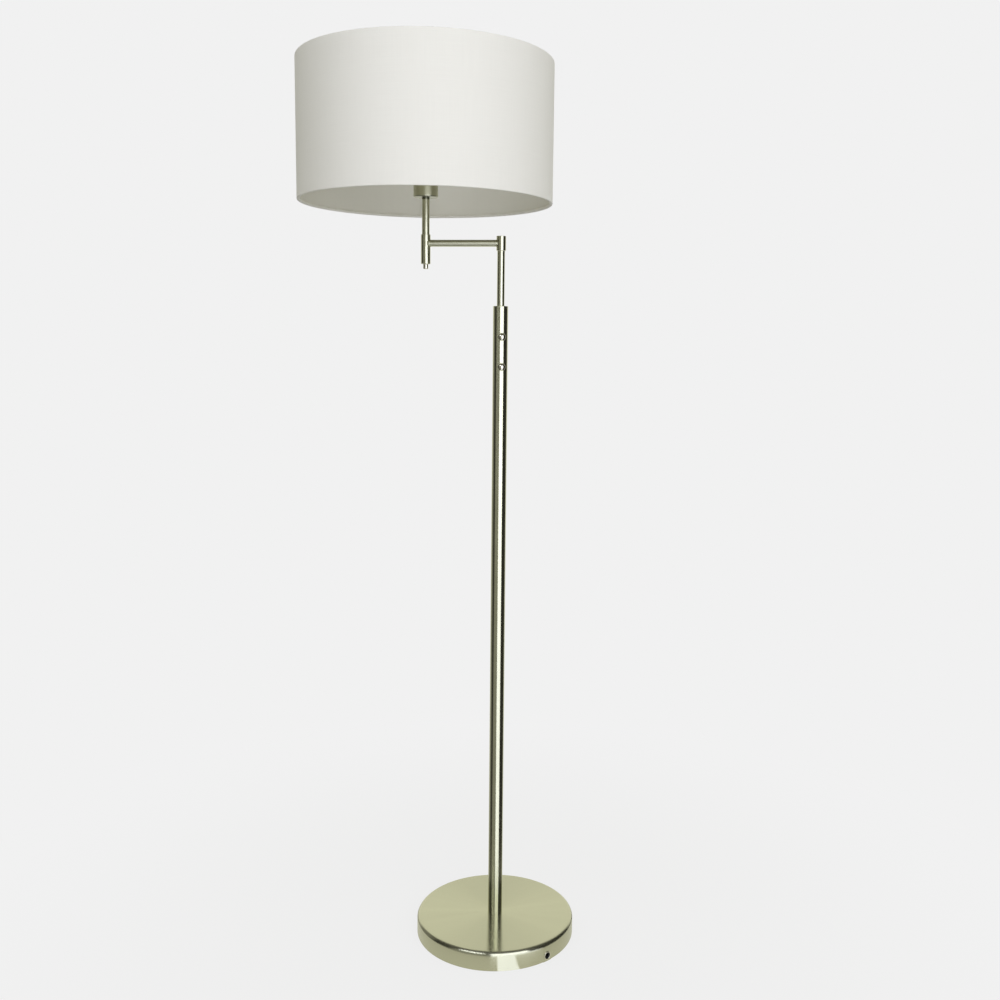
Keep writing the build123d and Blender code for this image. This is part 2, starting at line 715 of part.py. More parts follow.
def hem(height, notch_angles=()):
    """The covering turned in round a hoop, notched where a carrier wire meets the hoop."""
    inner_r = RIM_WIRE_D / 2 + FIT_GAP
    reach = shade_inner_r - FIT_GAP - rim_wire_r
    flap_rise = inner_r + HEM_T / 2
    with BuildPart() as piece:
        with BuildSketch(side_plane(HEAD)):
            with Locations((rim_wire_r, height)):
                Circle(inner_r + HEM_T)
                Circle(inner_r, mode=Mode.SUBTRACT)
                Rectangle(2 * reach, 4 * inner_r, align=(Align.MIN, Align.CENTER), mode=Mode.SUBTRACT)
            with Locations((rim_wire_r, height + flap_rise), (rim_wire_r, height - flap_rise)):
                Rectangle(reach, HEM_T, align=(Align.MIN, Align.CENTER))
        revolve(axis=holder_axis)
        for angle in notch_angles:
            with BuildSketch(HEAD.rotated((0, 0, angle)).offset(height - 2 * inner_r)):
                Rectangle(SHADE_D, HEM_NOTCH, align=(Align.MIN, Align.CENTER))
            extrude(amount=4 * inner_r, mode=Mode.SUBTRACT)
    return piece


shade_upper_hoop = rim_wire(shade_top - rim_inset)
shade_lower_hoop = rim_wire(shade_bottom + rim_inset)
shade_upper_hem = hem(shade_top - rim_inset, wire_angles)
shade_lower_hem = hem(shade_bottom + rim_inset)
shade_drum = round_bar(HEAD, SHADE_D, shade_bottom, shade_top, 2 * shade_inner_r)

# ---------------------------------------------------------------- files

pieces = {
    "base_cover": base_cover,
    "base_weight": base_weight,
    "base_pad": base_pad,
    "outlet_eyelet": outlet_eyelet,
    "cord_bush": cord_bush,
    "foot_nipple": foot_nipple,
    "foot_nut": foot_nut,
    "foot_lock_washer": foot_lock_washer,
    "foot_washer": foot_washer,
    "column_foot_plug": column_foot_plug,
    "column_tube": column_tube,
    "guide_sleeve": guide_sleeve,
    "clamp_screw_upper": clamp_screw_upper,
    "clamp_screw_lower": clamp_screw_lower,
    "riser_tube": riser_tube,
    "riser_foot_bush": riser_foot_bush,
    "riser_spigot": riser_spigot,
    "swivel_washer": swivel_washer,
    "swivel_spring": swivel_spring,
    "swivel_nut": swivel_nut,
    "elbow_sleeve": elbow_sleeve,
    "elbow_cap": elbow_cap,
    "arm_tube": arm_tube,
    "head_sleeve": head_sleeve,
    "switch_bush": switch_bush,
    "switch_body": switch_body,
    "switch_spindle": switch_spindle,
    "switch_knob": switch_knob,
    "stem_tube": stem_tube,
    "stem_nipple": stem_nipple,
    "holder_cup": holder_cup,
    "holder_base": holder_base,
    "holder_skirt": holder_skirt,
    "contact_block": contact_block,
    "contact_shell": contact_shell,
    "centre_contact": centre_contact,
    "bulb_cap": bulb_cap,
    "bulb_glass": bulb_glass,
    "carrier_ring": carrier_ring,
    "shade_ring_nut": shade_ring_nut,
    "carrier_wires": carrier_wires,
    "shade_upper_hoop": shade_upper_hoop,
    "shade_lower_hoop": shade_lower_hoop,
    "shade_upper_hem": shade_upper_hem,
    "shade_lower_hem": shade_lower_hem,
    "shade_drum": shade_drum,
}

os.makedirs("parts", exist_ok=True)
for name, piece in pieces.items():
    piece.part.label = name
    export_step(piece.part, f"parts/{name}.step")
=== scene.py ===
"""Adjustable arm floor lamp: its visible pieces, finishes, studio and camera.

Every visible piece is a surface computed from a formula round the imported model's own boxes. Lengths are
in metres, in the model's frame: +Z up, the arm along -X, the origin under the middle of the base.
"""

import json
from collections import namedtuple
from math import atan2, cos, pi, radians, sin

import bmesh
import bpy
import numpy as np
from bpy.props import FloatProperty, FloatVectorProperty, IntProperty, PointerProperty
from bpy.types import Operator, Panel, PropertyGroup
from mathutils import Matrix, Vector


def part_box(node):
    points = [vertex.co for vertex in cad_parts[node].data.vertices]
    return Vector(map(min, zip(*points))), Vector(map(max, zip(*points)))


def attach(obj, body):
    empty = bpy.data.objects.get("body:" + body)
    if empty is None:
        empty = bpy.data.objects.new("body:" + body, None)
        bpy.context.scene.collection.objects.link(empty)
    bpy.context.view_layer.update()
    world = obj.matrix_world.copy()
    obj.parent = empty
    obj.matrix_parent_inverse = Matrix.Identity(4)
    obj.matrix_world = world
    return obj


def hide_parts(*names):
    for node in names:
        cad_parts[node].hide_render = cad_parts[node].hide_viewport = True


bl_info = {
    "name": "Adjustable Arm Floor Lamp",
    "version": (1, 0, 0),
    "blender": (4, 5, 0),
    "location": "View3D > Sidebar > Floor Lamp",
    "description": "Builds the visible pieces, finishes, studio and camera of a floor lamp",
    "category": "Object",
}

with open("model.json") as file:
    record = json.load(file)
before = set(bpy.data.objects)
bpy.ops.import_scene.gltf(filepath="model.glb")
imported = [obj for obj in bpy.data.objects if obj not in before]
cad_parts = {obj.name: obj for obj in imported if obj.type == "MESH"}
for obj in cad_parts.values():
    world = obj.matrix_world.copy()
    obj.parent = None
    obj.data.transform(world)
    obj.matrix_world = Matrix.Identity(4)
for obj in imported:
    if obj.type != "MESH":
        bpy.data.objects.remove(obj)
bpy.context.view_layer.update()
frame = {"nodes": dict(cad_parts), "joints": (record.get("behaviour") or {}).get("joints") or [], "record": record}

MM = 0.001
FIT = 0.05 * MM
UP = Vector((0, 0, 1))

# The seams of the shade stand opposite the camera, in radians round the shade's axis
SEAM_ANGLE = radians(97)

# The three wires' angles round the shade's axis
WIRE_ANGLES = pi / 2 + np.arange(3) * 2 * pi / 3

# Soft boxes: bearing from the camera in degrees, then distance, height, height aimed at, width, height
KEY_BOX = (22, 2.4, 1.5, 1.2, 2.45, 2.4)
FILL_BOX = (-38, 2.6, 2.9, 1.0, 1.9, 0.9)

# The key light's mirror image on the floor, as bearings in degrees with its middle, its edge and where it
# is full, and its strength: close to the base, and further out, where the column sees it
NEAR_POOL = (10.3, 9.6, 7.2, 1.65)
FAR_POOL = (23, 28, 26, 1.9)

# Walls seen in gloss: bearing, degrees to its dark side, degrees to its full light, elevations in
# degrees where it starts and ends to fade upward, strength
WALLS = ((180, 62, 40, 42, 75, 1.0), (-34, 36, 20, 25, 55, 0.34), (-112, 25, 8, 20, 50, 0.28))

# The back wall's extra light on dull surfaces: bearing, degrees to its dark side and to its full light,
# strength
BACK_WALL = (180, 100, 30, 0.45)


# ---------------------------------------------------------------- colours and nodes


def linear(hex_code):
    """An sRGB hex colour as linear red, green and blue: ((v + 0.055) / 1.055) to the power 2.4."""
    value = np.array([int(hex_code[i : i + 2], 16) for i in (1, 3, 5)]) / 255
    low = value / 12.92
    high = ((value + 0.055) / 1.055) ** 2.4
    return tuple(float(v) for v in np.where(value <= 0.04045, low, high))


def colour_setting(name, hex_code, description):
    """A colour that the user can change, with its hex default."""
    return FloatVectorProperty(
        name=name, description=description, default=linear(hex_code), subtype="COLOR", min=0, max=1
    )


def length_setting(name, millimetres, description):
    """A length that the user can change, with its default in millimetres."""
    return FloatProperty(
        name=name, description=description, default=millimetres * MM, min=0, subtype="DISTANCE", unit="LENGTH", precision=5
    )


def rgba(colour, share=1.0):
    """A colour of the settings as a node's value, darkened to a share of itself."""
    return (*(channel * share for channel in colour), 1.0)


def add_node(tree, kind, sockets=None, **settings):
    """Adds a node. Settings are its own; sockets maps an input to a value or to the output that feeds it."""
    node = tree.nodes.new("ShaderNode" + kind)
    for name, value in settings.items():
        setattr(node, name, value)
    for name, value in (sockets or {}).items():
        if isinstance(value, bpy.types.NodeSocket):
            tree.links.new(value, node.inputs[name])
        else:
            node.inputs[name].default_value = value
    return node


# ---------------------------------------------------------------- settings


class LampFinishes(PropertyGroup):
    """The colours of the lamp's finishes."""

    nickel: colour_setting("Satin nickel", "#CDCDB4", "Warm nickel plate under a brushed surface")
    bright_nickel: colour_setting("Polished nickel", "#D6D3C3", "Nickel plate on the screws, eyelet and knob")
    zinc: colour_setting("Zinc plate", "#B4B6B8", "Nuts, washers and nipples")
    iron: colour_setting("Cast iron", "#2A2A2B", "The weight in the base")
    felt: colour_setting("Felt", "#26262A", "The pad under the base")
    black: colour_setting("Black plastic", "#161617", "The cord bush and the switch's body")
    white: colour_setting("White plastic", "#E6E3DA", "The lampholder and its ring nut")
    nylon: colour_setting("Nylon", "#DAD5C4", "The riser's bush and the swivel's washer")
    brass: colour_setting("Brass", "#D3B36A", "The lampholder's contacts")
    porcelain: colour_setting("Porcelain", "#F0EEE6", "The lampholder's contact block")
    cap: colour_setting("Lamp cap", "#D0D0CF", "The bulb's screw cap")
    opal: colour_setting("Opal glass", "#F2F1EC", "The bulb")
    wire: colour_setting("White wire", "#E9E7DF", "The shade's wires, ring and hoops")
    cloth: colour_setting("Ivory cloth", "#F1EFE6", "The cover of the shade")
    lining: colour_setting("Lining", "#E8E6DB", "The stiff sheet inside the shade")


class LampSizes(PropertyGroup):
    """The sizes of the details that the solids leave out."""

    brush_line: length_setting("Brush line", 0.5, "Distance between the brushed finish's lines")
    knurl_depth: length_setting("Knurl depth", 0.1, "Depth of the knurl on the clamp screws")
    knurl_count: IntProperty(
        name="Knurl count", description="Ridges round a clamp screw's head", default=48, min=12, max=90
    )
    thread_pitch: length_setting("Thread pitch", 2.5, "Pitch of the lampholder's outer thread")
    thread_depth: length_setting("Thread depth", 0.7, "Depth of the lampholder's outer thread")
    flute_depth: length_setting("Flute depth", 1.1, "Depth of the ring nut's flutes")
    bead: length_setting("Braze bead", 0.45, "Radius of the brazed bead where the arm meets a sleeve")
    thread_spacing: length_setting("Thread spacing", 0.55, "Distance between the threads of the shade's cloth")
    seam_width: length_setting("Seam width", 10, "Overlap of the shade's cloth at its seam")
    notch_width: length_setting("Notch width", 7, "Width of the notches in the cloth's upper turned-in edge")
    cloth: length_setting("Cloth thickness", 0.4, "Thickness of the shade's cloth")
    seam_step: length_setting("Seam step", 0.42, "How far the overlap stands off the cloth under it")


class LampStage(PropertyGroup):
    """The studio and the camera."""

    backdrop: colour_setting("Backdrop", "#F1F1F1", "The floor and everything behind the lamp")
    daylight: colour_setting("Soft boxes", "#F1F3FE", "The soft boxes' light, a little cool")
    walls: colour_setting("Walls", "#F1F0E0", "The light that the studio's walls send back, a little warm")
    key: FloatProperty(name="Key light", description="Power of the large soft box", default=45, min=0, subtype="POWER")
    fill: FloatProperty(name="Fill light", description="Power of the high soft box", default=20, min=0, subtype="POWER")
    ambient: FloatProperty(name="Ambient", description="Even light on dull surfaces", default=0.31, min=0)
    dim: FloatProperty(name="Dim sides", description="Light of the studio's sides in gloss", default=0.04, min=0)
    ceiling: FloatProperty(name="Ceiling", description="Light of the ceiling in gloss", default=0.12, min=0)
    board: FloatProperty(name="Board", description="Light of the pale floor round the base in gloss", default=0.76, min=0)
    lens: FloatProperty(name="Lens", description="Focal length on a 36 mm sensor", default=39.1663, min=10, unit="CAMERA")
    distance: FloatProperty(
        name="Camera distance", description="From the column to the camera, level", default=1.8533, unit="LENGTH"
    )
    height: FloatProperty(name="Camera height", description="Above the floor", default=1.0501, unit="LENGTH")
    bearing: FloatProperty(
        name="Camera bearing", description="Turn of the camera round the column", default=radians(7.58), subtype="ANGLE"
    )
    pan: FloatProperty(name="Camera pan", description="Turn to the right", default=radians(0.811), subtype="ANGLE")
    pitch: FloatProperty(name="Camera pitch", description="Tilt upward", default=radians(-7.707), subtype="ANGLE")
    roll: FloatProperty(name="Camera roll", description="Turn about its own line", default=radians(0.65), subtype="ANGLE")
    shift_across: FloatProperty(name="Shift across", description="Of the view, in widths", default=-0.01416)
    shift_up: FloatProperty(name="Shift up", description="Of the view, in widths", default=-0.00763)


# ---------------------------------------------------------------- surfaces


def rounded(corners, steps=5, closed=True):
    """An outline with rounded corners, from rows of (across, up, radius).

    An arc starts and ends at radius / tan(half the inner angle) from its corner, along the two legs, and
    its centre lies on the angle's bisector at radius / sin(half the inner angle). Beyond both ends of an
    arc each leg gets one point more, so that smooth shading stays near the corner.
    """
    corners = np.asarray(corners, float)
    spot, radius = corners[:, :2], corners[:, 2]
    legs = [np.roll(spot, turn, axis=0) - spot for turn in (1, -1)]
    lengths = [np.linalg.norm(leg, axis=1) for leg in legs]
    toward = [leg / length[:, None] for leg, length in zip(legs, lengths)]
    half = np.arccos(np.clip((toward[0] * toward[1]).sum(1), -1, 1)) / 2
    cut = radius / np.tan(half)
    bisector = toward[0] + toward[1]
    bisector /= np.linalg.norm(bisector, axis=1)[:, None]
    centre = spot + bisector * (radius / np.sin(half))[:, None]
    ends = [spot + way * cut[:, None] for way in toward]
    first, last = (np.arctan2(*(end - centre).T[::-1]) for end in ends)
    sweep = (last - first + pi) % (2 * pi) - pi
    angle = first[:, None] + sweep[:, None] * np.linspace(0, 1, steps + 1)
    arcs = centre[:, None] + radius[:, None, None] * np.stack([np.cos(angle), np.sin(angle)], axis=-1)
    free = [length - cut - np.roll(cut, turn) for length, turn in zip(lengths, (1, -1))]
    guards = [
        end + way * np.minimum(radius, spare / 3)[:, None] for end, way, spare in zip(ends, toward, free)
    ]
    outline = np.concatenate([guards[0][:, None], arcs, guards[1][:, None]], axis=1).reshape(-1, 2)
    if not closed:
        outline = outline[steps + 2 : -(steps + 2)]
    step = np.linalg.norm(outline - np.roll(outline, 1, axis=0), axis=1)
    return outline[step > 1e-7]


def divided(outline, spacing, low=-np.inf, high=np.inf):
    """A closed outline with points added along it every spacing, where its height is from low to high."""
    ring = np.vstack([outline, outline[:1]])
    along = np.concatenate([[0], np.cumsum(np.linalg.norm(np.diff(ring, axis=0), axis=1))])
    extra = np.arange(0, along[-1], spacing)
    height = np.interp(extra, along, ring[:, 1])
    extra = extra[(height > low) & (height < high)]
    every = np.unique(np.round(np.concatenate([along[:-1], extra]), 9))
    return np.stack([np.interp(every, along, ring[:, axis]) for axis in (0, 1)], axis=1)


def grid_faces(rows, columns, wrap_rows=True, wrap_columns=True):
    """The four-cornered faces of a grid of points, whose rows and columns may each close on themselves."""
    row = np.arange(rows if wrap_rows else rows - 1)[:, None]
    column = np.arange(columns if wrap_columns else columns - 1)[None, :]
    next_row, next_column = (row + 1) % rows, (column + 1) % columns
    corners = [
        row * columns + column,
        row * columns + next_column,
        next_row * columns + next_column,
        next_row * columns + column,
    ]
    return np.stack(corners, axis=-1).reshape(-1, 4)


def with_rows(outline, heights):
    """A closed outline with points added at these heights on its upright runs."""
    ring = np.vstack([outline, outline[:1]])
    start, end = ring[:-1], ring[1:]
    along = np.concatenate([[0], np.cumsum(np.linalg.norm(end - start, axis=1))])
    heights = np.unique(np.round(heights, 9))[None, :]
    low, high = np.minimum(start, end)[:, 1:], np.maximum(start, end)[:, 1:]
    upright = np.abs(start[:, :1] - end[:, :1]) < 1e-9
    found = upright & (heights > low + 1e-7) & (heights < high - 1e-7)
    extra = (along[:-1, None] + np.abs(heights - start[:, 1:]))[found]
    every = np.unique(np.concatenate([along[:-1], extra]))
    return np.stack([np.interp(every, along, ring[:, axis]) for axis in (0, 1)], axis=1)


def tube_outline(radius, wall, low, high):
    """The closed outline of a plain tube whose edges are broken by 0.2 mm."""
    edge = 0.2 * MM
    return rounded([(radius - wall, low, edge), (radius, low, edge), (radius, high, edge), (radius - wall, high, edge)])


def make_piece(name, points, faces):
    """A piece from points and faces: doubles are merged, poles closed and all faces turned outwards."""
    mesh = bpy.data.meshes.new(name)
    mesh.from_pydata(np.asarray(points, float).reshape(-1, 3).tolist(), [], np.asarray(faces).tolist())
    work = bmesh.new()
    work.from_mesh(mesh)
    bmesh.ops.remove_doubles(work, verts=work.verts, dist=1e-7)
    bmesh.ops.dissolve_degenerate(work, edges=work.edges, dist=1e-8)
    bmesh.ops.recalc_face_normals(work, faces=work.faces)
    work.to_mesh(mesh)
    work.free()
    mesh.shade_smooth()
    piece = bpy.data.objects.new(name, mesh)
    bpy.context.scene.collection.objects.link(piece)
    return piece


def turned(name, outline, foot=(0, 0, 0), along=(0, 0, 1), turns=96, relief=None):
    """A turned piece: foot + height × along + radius × (cos a × side + sin a × other).

    relief(angle, radius, height) gives what is added to the radius, as for a knurl, flute or thread.
    """
    along = np.asarray(along, float)
    side = np.cross(along, (0, 0, 1)) if abs(along[2]) < 0.9 else np.array((1.0, 0, 0))
    side /= np.linalg.norm(side)
    other = np.cross(along, side)
    angle = np.linspace(0, 2 * pi, turns, endpoint=False)[None, :]
    radius, height = outline[:, :1], outline[:, 1:]
    reach = radius + (relief(angle, radius, height) if relief else 0 * angle)
    spokes = np.cos(angle)[..., None] * side + np.sin(angle)[..., None] * other
    points = np.asarray(foot, float) + height[..., None] * along + reach[..., None] * spokes
    return make_piece(name, points, grid_faces(len(outline), turns))


Drill = namedtuple("Drill", "angle radius half_height rows columns")


def pierced(name, outline, drill, heights, foot=(0, 0, 0), turns=96):
    """An upright turned piece with level round holes drilled through its wall toward its axis.

    Round each hole both walls leave out a window of the grid. Its filling runs from the drill's edge to
    the window's: edge + (window - edge) × share. On a wall of radius R the edge of a drill of radius h is
    at the angle arcsin(h cos t / R) and h sin t up. A sleeve of faces joins the outer wall's edge to the
    inner wall's.
    """
    step = 2 * pi / turns
    rise = drill.half_height * np.linspace(-1, 1, 2 * drill.rows + 1)
    outline = with_rows(outline, (np.asarray(heights)[:, None] + rise).ravel())
    angle = drill.angle + step * np.arange(turns)
    radius, height = outline[:, :1], outline[:, 1:]
    points = np.stack([radius * np.cos(angle), radius * np.sin(angle), height + 0 * angle], axis=-1).reshape(-1, 3)
    faces = grid_faces(len(outline), turns)
    row, column = faces // turns, faces % turns
    level = outline[row, 1].mean(axis=1)
    upright = np.ptp(outline[row, 0], axis=1) < 1e-9
    beside = np.minimum(column, turns - column).max(axis=1) <= drill.columns
    window = upright & beside & (np.abs(level[:, None] - heights).min(axis=1) < drill.half_height)
    walls = np.unique(np.round(outline[row[window][:, 0], 0], 9))
    all_points, all_faces = [points], [faces[~window]]
    side = np.concatenate([np.linspace(-1, 1, 2 * drill.columns + 1), np.ones(2 * drill.rows - 1)])
    up = np.concatenate([-np.ones(2 * drill.columns + 1), np.linspace(-1, 1, 2 * drill.rows + 1)[1:-1]])
    side, up = np.concatenate([side, -side]), np.concatenate([up, -up])
    share = np.linspace(0, 1, 4)[:, None]
    for middle in heights:
        edges = []
        for wall in walls:
            aside = side * drill.columns * step
            turn = np.arctan2(up * drill.half_height, aside * walls.max())
            hole_angle = np.arcsin(np.clip(drill.radius * np.cos(turn) / wall, -1, 1))
            around = drill.angle + hole_angle + (aside - hole_angle) * share
            rise = drill.radius * np.sin(turn)
            rise = middle + rise + (up * drill.half_height - rise) * share
            patch = np.stack([wall * np.cos(around), wall * np.sin(around), rise], axis=-1)
            edges.append(patch[0])
            all_faces.append(grid_faces(4, len(side), wrap_rows=False) + sum(map(len, all_points)))
            all_points.append(patch.reshape(-1, 3))
        all_faces.append(grid_faces(2, len(side), wrap_rows=False) + sum(map(len, all_points)))
        all_points.append(np.concatenate(edges))
    return make_piece(name, np.concatenate(all_points) + np.asarray(foot), np.concatenate(all_faces))


def make_sheet(name, points, faces, flat):
    """An open sheet with a map of its flat cut, in metres, which its weave follows."""
    mesh = bpy.data.meshes.new(name)
    mesh.from_pydata(np.asarray(points, float).reshape(-1, 3).tolist(), [], np.asarray(faces).tolist())
    mesh.uv_layers.new(name="cloth").data.foreach_set("uv", flat[faces.ravel()].ravel())
    mesh.shade_smooth()
    piece = bpy.data.objects.new(name, mesh)
    bpy.context.scene.collection.objects.link(piece)
    return piece


def swept(name, path, radius, reference, sides=16, closed=False):
    """A round wire along a path: each point carries a circle of radius × (cos a × across + sin a × over).

    across is the cross product of the path's direction with the reference, and over that of the
    direction with across. An open wire ends in a flat cap.
    """
    path = np.asarray(path, float)
    if closed:
        run = np.roll(path, -1, axis=0) - np.roll(path, 1, axis=0)
    else:
        run = np.gradient(path, axis=0)
    run /= np.linalg.norm(run, axis=1)[:, None]
    across = np.cross(run, np.broadcast_to(reference, path.shape))
    across /= np.linalg.norm(across, axis=1)[:, None]
    over = np.cross(run, across)
    angle = np.linspace(0, 2 * pi, sides, endpoint=False)
    circle = np.cos(angle)[None, :, None] * across[:, None] + np.sin(angle)[None, :, None] * over[:, None]
    points = path[:, None] + radius * circle
    if not closed:
        ends = np.broadcast_to(path[[0, -1], None], (2, sides, 3))
        points = np.concatenate([ends[:1], points, ends[1:]])
    return make_piece(name, points, grid_faces(len(points), sides, wrap_rows=closed))


def joined(name, pieces):
    """Several pieces as one object, each of them still a closed surface of its own."""
    work = bmesh.new()
    for piece in pieces:
        work.from_mesh(piece.data)
        bpy.data.objects.remove(piece)
    mesh = bpy.data.meshes.new(name)
    work.to_mesh(mesh)
    work.free()
    mesh.shade_smooth()
    whole = bpy.data.objects.new(name, mesh)
    bpy.context.scene.collection.objects.link(whole)
    return whole


def finish_piece(piece, body, slot, material, *nodes):
    """Gives a piece its material, sets it on its body, and hides the solids it stands for. The slot is not used."""
    piece.data.materials.clear()
    piece.data.materials.append(material)
    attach(piece, body)
    if nodes:
        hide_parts(*nodes)
    return piece


def dress(material, *nodes):
    """Gives solids that stay in view, or inside the lamp, their material."""
    for node in nodes:
        mesh = frame["nodes"][node].data
        mesh.materials.clear()
        mesh.materials.append(material)


def extent(node):
    """A round upright solid's axis (x, y), radius, lowest and highest point."""
    low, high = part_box(node)
    middle = (low + high) / 2
    return (middle.x, middle.y, 0), (high.y - low.y) / 2, low.z, high.z


def ramp(low, high, start, end):
    """The inputs of a Map Range node."""
    return {"From Min": low, "From Max": high, "To Min": start, "To Max": end}


def wavy_step(value, low, high):
    """Rises from 0 to 1 between low and high: t × t × (3 - 2 t)."""
    share = np.clip((value - low) / (high - low), 0, 1)
    return share * share * (3 - 2 * share)


# ---------------------------------------------------------------- finishes


def new_finish(name, **sockets):
    """An empty material with its shader and output. Sockets are the shader's own values."""
    material = bpy.data.materials.new(name)
    material.use_nodes = True
    tree = material.node_tree
    tree.nodes.clear()
    shader = add_node(tree, "BsdfPrincipled", {key.replace("_", " "): value for key, value in sockets.items()})
    add_node(tree, "OutputMaterial", {"Surface": shader.outputs["BSDF"]})
    return material, tree, shader


def object_point(tree, centre=(0, 0, 0), scale=(1, 1, 1)):
    """The point on the piece from its own coordinates, seen from a centre and stretched."""
    spot = add_node(tree, "TexCoord").outputs["Object"]
    moved = add_node(tree, "VectorMath", {0: spot, 1: centre}, operation="SUBTRACT")
    return add_node(tree, "VectorMath", {0: moved.outputs[0], 1: scale}, operation="MULTIPLY").outputs[0]


def noise(tree, vector, scale=1.0, detail=2.0):
    """Soft noise at a vector."""
    return add_node(tree, "TexNoise", {"Vector": vector, "Scale": scale, "Detail": detail}).outputs["Fac"]


def spread(tree, value, low, high):
    """Noise or a pattern from 0 to 1, spread from low to high."""
    node = add_node(tree, "MapRange", {"Value": value, "From Min": 0.3, "From Max": 0.7, "To Min": low, "To Max": high})
    return node.outputs["Result"]


def tint(tree, value, one, other):
    """A colour between two, by a value from 0 to 1."""
    node = add_node(tree, "Mix", {"Factor": value, 6: one, 7: other}, data_type="RGBA")
    return node.outputs[2]


def bumped(tree, shader, height, distance, strength=1.0):
    """Sends a height to the shader as a bump of a real distance."""
    bump = add_node(tree, "Bump", {"Height": height, "Distance": distance, "Strength": strength})
    tree.links.new(bump.outputs["Normal"], shader.inputs["Normal"])


def brushed_nickel(
    name, centre, axis=UP, flat=False, coarse=1.0, roughness=0.22, anisotropic=0.9, share=1.0, dull=None
):
    """Nickel plate over steel, brushed on a lathe and lacquered. A flat piece is a disc or a spun cover.

    The brush leaves fine lines round the axis. They blur a reflection across the lines and leave it
    clear along them, so a tube shows long clean bands and a disc shows fans of light, a little uneven
    round it where the lathe's pressure changed. The real lines are about 0.1 mm apart, which is too fine
    to show, so they are drawn at the brush line setting. Share darkens the plate's colour, as painted
    shade. Dull is a pair of heights: under the first the colour is darkened to half, as painted shade, and
    over the second it is full; the roughness stays as it is.
    """
    looks, sizes = bpy.context.scene.lamp_finishes, bpy.context.scene.lamp_sizes
    material, tree, shader = new_finish(
        name, Metallic=1.0, Anisotropic=anisotropic, Anisotropic_Rotation=0.25, Roughness=roughness
    )
    axis = Vector(axis)
    spot = object_point(tree, centre)
    around = add_node(tree, "VectorMath", {0: tuple(axis), 1: spot}, operation="CROSS_PRODUCT")
    turned_way = add_node(
        tree, "VectorTransform", {"Vector": around.outputs[0]}, vector_type="VECTOR", convert_from="OBJECT", convert_to="WORLD"
    )
    tree.links.new(turned_way.outputs["Vector"], shader.inputs["Tangent"])
    per_line = coarse / sizes.brush_line
    slow = per_line / 60
    if flat:
        reach = add_node(tree, "VectorMath", {0: around.outputs[0]}, operation="LENGTH").outputs["Value"]
        height = add_node(tree, "SeparateXYZ", {"Vector": spot}).outputs["Z"]
        ring = add_node(tree, "CombineXYZ", {"X": reach, "Y": height})
        lines_at = add_node(tree, "VectorMath", {0: ring.outputs[0], 1: (per_line,) * 3}, operation="MULTIPLY")
        sway = object_point(tree, centre, (slow, slow, 0))
        lines_at = add_node(tree, "VectorMath", {0: lines_at.outputs[0], 1: sway}, operation="ADD").outputs[0]
        bearing = add_node(tree, "VectorMath", {0: around.outputs[0]}, operation="NORMALIZE").outputs[0]
        smudge_at, smudge_scale = bearing, 4.0
    else:
        scale = [slow + (per_line - slow) * abs(part) for part in axis]
        lines_at = object_point(tree, centre, scale)
        smudge_at, smudge_scale = spot, 22.0
    lines = noise(tree, lines_at, 1.0, 3.0)
    smudge = noise(tree, smudge_at, smudge_scale, 6.0)
    patchy = add_node(tree, "Math", {0: lines, 1: smudge}, operation="ADD").outputs[0]
    half = add_node(tree, "Math", {0: patchy, 1: 0.5}, operation="MULTIPLY").outputs[0]
    colour = tint(tree, spread(tree, half, 0.0, 1.0), rgba(looks.nickel, 0.9 * share), rgba(looks.nickel, share))
    # Painted shade: under the first dull height the colour is half the plate's, rising to full at the second
    if dull:
        level = add_node(tree, "SeparateXYZ", {"Vector": object_point(tree)}).outputs["Z"]
        out_of_painted_shade = add_node(tree, "MapRange", {"Value": level, **ramp(*dull, 0.0, 1.0)}).outputs["Result"]
        colour = tint(tree, out_of_painted_shade, rgba(looks.nickel, 0.5), colour)
    tree.links.new(colour, shader.inputs["Base Color"])
    tree.links.new(spread(tree, half, roughness - 0.04, roughness + 0.05), shader.inputs["Roughness"])
    bumped(tree, shader, lines, 0.006 * MM, 0.6)
    return material


def polished_nickel(name, roughness=0.08):
    """Nickel plate on turned brass, buffed bright: clear reflections with the faint haze of handling."""
    looks = bpy.context.scene.lamp_finishes
    material, tree, shader = new_finish(name, Metallic=1.0, Base_Color=rgba(looks.bright_nickel))
    haze = noise(tree, object_point(tree), 320.0, 4.0)
    tree.links.new(spread(tree, haze, roughness - 0.03, roughness + 0.03), shader.inputs["Roughness"])
    bumped(tree, shader, haze, 0.01 * MM, 0.3)
    return material


def silver_braze(name):
    """Silver braze under the nickel plate: a smooth bead, a little duller and darker than the tubes."""
    looks = bpy.context.scene.lamp_finishes
    material, tree, shader = new_finish(name, Metallic=1.0)
    flow = noise(tree, object_point(tree), 900.0, 2.0)
    tree.links.new(tint(tree, flow, rgba(looks.nickel, 0.8), rgba(looks.nickel, 0.95)), shader.inputs["Base Color"])
    tree.links.new(spread(tree, flow, 0.22, 0.36), shader.inputs["Roughness"])
    bumped(tree, shader, flow, 0.02 * MM, 0.5)
    return material


def zinc_plated_steel(name):
    """Mild steel with bright zinc: a cool grey whose crystals mottle the gloss every half millimetre."""
    looks = bpy.context.scene.lamp_finishes
    material, tree, shader = new_finish(name, Metallic=1.0)
    spangle = noise(tree, object_point(tree), 1900.0, 3.0)
    tree.links.new(tint(tree, spangle, rgba(looks.zinc, 0.85), rgba(looks.zinc)), shader.inputs["Base Color"])
    tree.links.new(spread(tree, spangle, 0.25, 0.42), shader.inputs["Roughness"])
    bumped(tree, shader, spangle, 0.02 * MM, 0.4)
    return material


